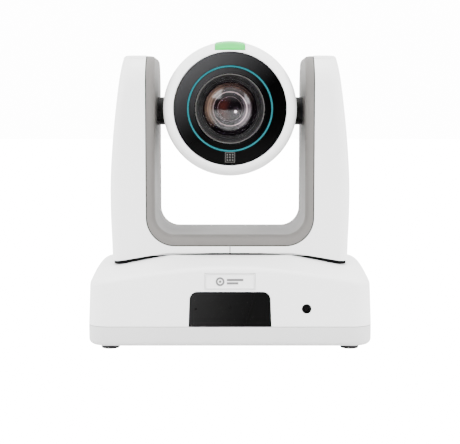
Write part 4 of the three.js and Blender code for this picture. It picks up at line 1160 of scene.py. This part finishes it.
def make_barrel_rim():
    profile = [(21.75, 44.98), (22.2, 44.98), (22.2, 45.1), (22.1, 45.15), (21.85, 45.15), (21.75, 45.1)]
    return smooth(on_axis("barrel_rim", profile), 30)


def make_panel_print():
    """A small printed mark under the lens: a square frame round nine dots."""
    look = (-31.1 * MM, 0.06 * MM, 0.08 * MM)
    places = [(column * MM, 0, row * MM) for column in (-1.7, 0, 1.7) for row in (-1.7, 0, 1.7)]
    dots = repeated(printed_bar(-0.5, -0.5, 0.5, 0.5, *look), places)
    piece = join_all("panel_print", [*printed_frame(3.2, 3.2, 0.35, *look), *dots])
    return bake_place(piece, move=(0, -45.22 * MM, lens_height))


def make_hub():
    """The right-hand tilt hub, a boss with a thinner shaft; the left one is mirrored from it."""
    inner, outer, reach = 37.0, 50.9, hub_reach / MM
    profile = [(0, inner), (HUB_RADIUS, inner), (HUB_RADIUS, outer - 0.4), (HUB_RADIUS - 0.3, outer),
               (4.6, outer), (4.0, outer + 0.2), (4.0, reach - 0.3), (3.7, reach), (0, reach)]
    piece = turned("tilt_hub_right_boss", in_metres(profile), ACROSS, (0, 0, tilt_height), 72)
    return smooth(piece, 30)


# ---- build the pieces
def use(piece, material, body, *nodes):
    """Finishes a piece: its look, the body it rides on, and the CAD nodes it stands in for."""
    piece.data.materials.clear()
    piece.data.materials.append(material)
    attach(piece, body)
    if nodes:
        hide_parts(*nodes)
    return piece


use(make_housing(), WHITE, "base", "base_housing")
# The tray's darker white is painted shade.
use(make_tray(), TRAY_WHITE_PAINTED_SHADE, "base", "base_tray")
# The window's look paints a reflection into its colour.
use(make_window(), SMOKED_PAINTED_REFLECTION, "base", "infrared_window")
use(make_window_dots(), FELT_AND_PAINTED_SHADE, "base")
use(make_badge(), WHITE, "base", "name_badge")
use(make_badge_marks(), MARK, "base")
use(make_badge_frame(), PALE_LINE, "base")
use(make_bush(), FELT_AND_PAINTED_SHADE, "base", "microphone_bush")
first_foot = make_foot()
for corner_name in ("foot_front_right", "foot_rear_left", "foot_rear_right"):
    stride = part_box(corner_name)[0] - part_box("foot_front_left")[0]
    next_foot = bake_place(twin(first_foot, corner_name + "_pad"), move=stride)
    use(next_foot, RUBBER, "base", corner_name)
use(first_foot, RUBBER, "base", "foot_front_left")

cover_right = use(make_cover(), WHITE, "yoke", "yoke_cover_right")
use(mirrored(cover_right, "yoke_cover_moulding_left"), WHITE, "yoke", "yoke_cover_left")
use(make_liner(), SILVER, "yoke", "yoke_liner")
# Painted shadow strips at the front and back of the channel's joint.
front_painted_shadow_strip = make_painted_shadow_strip()
use(mirrored(front_painted_shadow_strip, "rear_painted_shadow_strip", 1, 40), BLACK, "yoke")
use(front_painted_shadow_strip, BLACK, "yoke")
# Painted shade: a dark sheet in the gap under the yoke.
use(make_painted_shade_skirt(), FELT_AND_PAINTED_SHADE, "yoke")
use(make_seam_strips(), BLACK, "yoke")

use(make_bezel(), WHITE, "head", "head_bezel")
use(make_lamp(), GREEN, "head", "tally_lamp")
use(make_shell(), WHITE, "head", "head_shell")
use(make_rear_cover(), WHITE, "head", "head_rear_cover")
# The front disc's look paints a reflection into its colour.
use(make_front_panel(), GLOSS_PAINTED_REFLECTION, "head", "front_panel")
use(make_light_ring(), CYAN, "head", "light_ring")
use(make_barrel(), BLACK, "head", "lens_barrel")
use(make_front_glass(), GLASS, "head", "front_lens")
# The inner element carries painted reflections and highlights that glow.
use(make_inner_glass(), PAINTED_LENS_GLINTS, "head")
use(make_barrel_rim(), PRINT, "head")
use(make_panel_print(), PRINT, "head")
hub_right = make_hub()
use(mirrored(hub_right, "tilt_hub_left_boss"), BLACK, "head", "tilt_hub_left")
use(hub_right, BLACK, "head", "tilt_hub_right")

slot_looks = {
    "white_shell": WHITE, "tray_shell": TRAY_WHITE_PAINTED_SHADE, "silver_liner": SILVER, "black_gloss": GLOSS_PAINTED_REFLECTION,
    "black_plastic": BLACK, "rubber": RUBBER, "steel": STEEL, "brass": BRASS,
    "aluminium": ALUMINIUM, "circuit_board": BOARD, "motor_body": MOTOR, "cyan_light": CYAN,
    "green_light": GREEN, "red_light": RED, "lens_glass": GLASS}

for part in frame["record"]["subparts"]:
    node = frame["nodes"][part["node"]]
    node.data.materials.clear()
    node.data.materials.append(slot_looks[part["material_slot"]])
frame["nodes"]["microphone_capsule"].data.materials[0] = FELT_AND_PAINTED_SHADE


# ---- camera, floor and light
EYE = (0, -0.77, 0.1484)
LOOK_DOWN = 5.45
LENS = 88.1
BACKDROP_STRENGTH = 18.0
ROOM_STRENGTH = 8.0
LIGHTS_AIM = (0, 0, 0.1)


def make_camera():
    data = bpy.data.cameras.new("camera")
    data.lens = LENS
    data.sensor_width = 36
    data.clip_start = 0.05
    camera = bring_in(bpy.data.objects.new("camera", data))
    camera.location = EYE
    camera.rotation_euler = (math.radians(90 - LOOK_DOWN), 0, 0)
    bpy.context.scene.camera = camera


def for_the_camera(tree, shown, real, target):
    """Mixes what the camera sees of the backdrop with what lights the room."""
    mix = add(tree, "ShaderNodeMixShader")
    feed(tree, mix.inputs[0], add(tree, "ShaderNodeLightPath").outputs["Is Camera Ray"])
    feed(tree, mix.inputs[1], real.outputs[0])
    feed(tree, mix.inputs[2], shown.outputs[0])
    feed(tree, tree.nodes[target].inputs["Surface"], mix.outputs[0])


def make_floor():
    """A plain white floor plane that the camera sees as bare paper, while it still bounces light."""
    set_down()
    bpy.ops.mesh.primitive_plane_add(size=12)
    floor = named("floor")
    material, tree, shader = principled("pale_paper", Roughness=0.9)
    fibre = noise(tree, object_place(tree), 600.0)
    level = remap(tree, fibre, 0.3, 0.7, 0.97, 1.0)
    tint = blend_colours(tree, 1.0, (0.80, 0.80, 0.80, 1), level, "MULTIPLY")
    feed(tree, shader.inputs["Base Color"], tint)
    glow = add(tree, "ShaderNodeEmission")
    glow.inputs["Strength"].default_value = BACKDROP_STRENGTH
    for_the_camera(tree, glow, shader, "Material Output")
    floor.data.materials.append(material)


def make_light_panel(name, place, size, watts):
    data = bpy.data.lights.new(name, "AREA")
    data.shape = "RECTANGLE"
    data.size, data.size_y = size
    data.energy = watts
    lamp = bring_in(bpy.data.objects.new(name, data))
    lamp.location = place
    lamp.rotation_euler = (Vector(LIGHTS_AIM) - Vector(place)).to_track_quat("-Z", "Y").to_euler()


def make_world():
    """A studio lit from both sides and above, dark in front, with a white backdrop."""
    world = bpy.data.worlds.new("studio")
    world.use_nodes = True
    tree = world.node_tree
    room = tree.nodes["Background"]
    room.inputs["Strength"].default_value = ROOM_STRENGTH
    toward = axes_of(tree, add(tree, "ShaderNodeTexCoord").outputs["Generated"])
    aside = remap(tree, combine(tree, "ABSOLUTE", toward["X"]), 0.5, 0.95, 0.01, 1.0)
    above = remap(tree, toward["Z"], 0.2, 0.9, 0.0, 0.6)
    behind = remap(tree, toward["Y"], 0.2, 0.9, 0.0, 0.5)
    brightest = combine(tree, "MAXIMUM", combine(tree, "MAXIMUM", aside, above), behind)
    feed(tree, room.inputs["Color"], brightest)
    backdrop = add(tree, "ShaderNodeBackground")
    backdrop.inputs["Strength"].default_value = BACKDROP_STRENGTH
    for_the_camera(tree, backdrop, room, "World Output")
    bpy.context.scene.world = world


make_camera()
make_floor()
make_world()
make_light_panel("key_light", (-0.8, -1.5, 1.1), (0.8, 0.8), 20)
make_light_panel("fill_light", (1.1, -1.4, 0.8), (0.8, 0.8), 16)
make_light_panel("top_light", (0, -0.1, 1.5), (0.8, 0.6), 14)
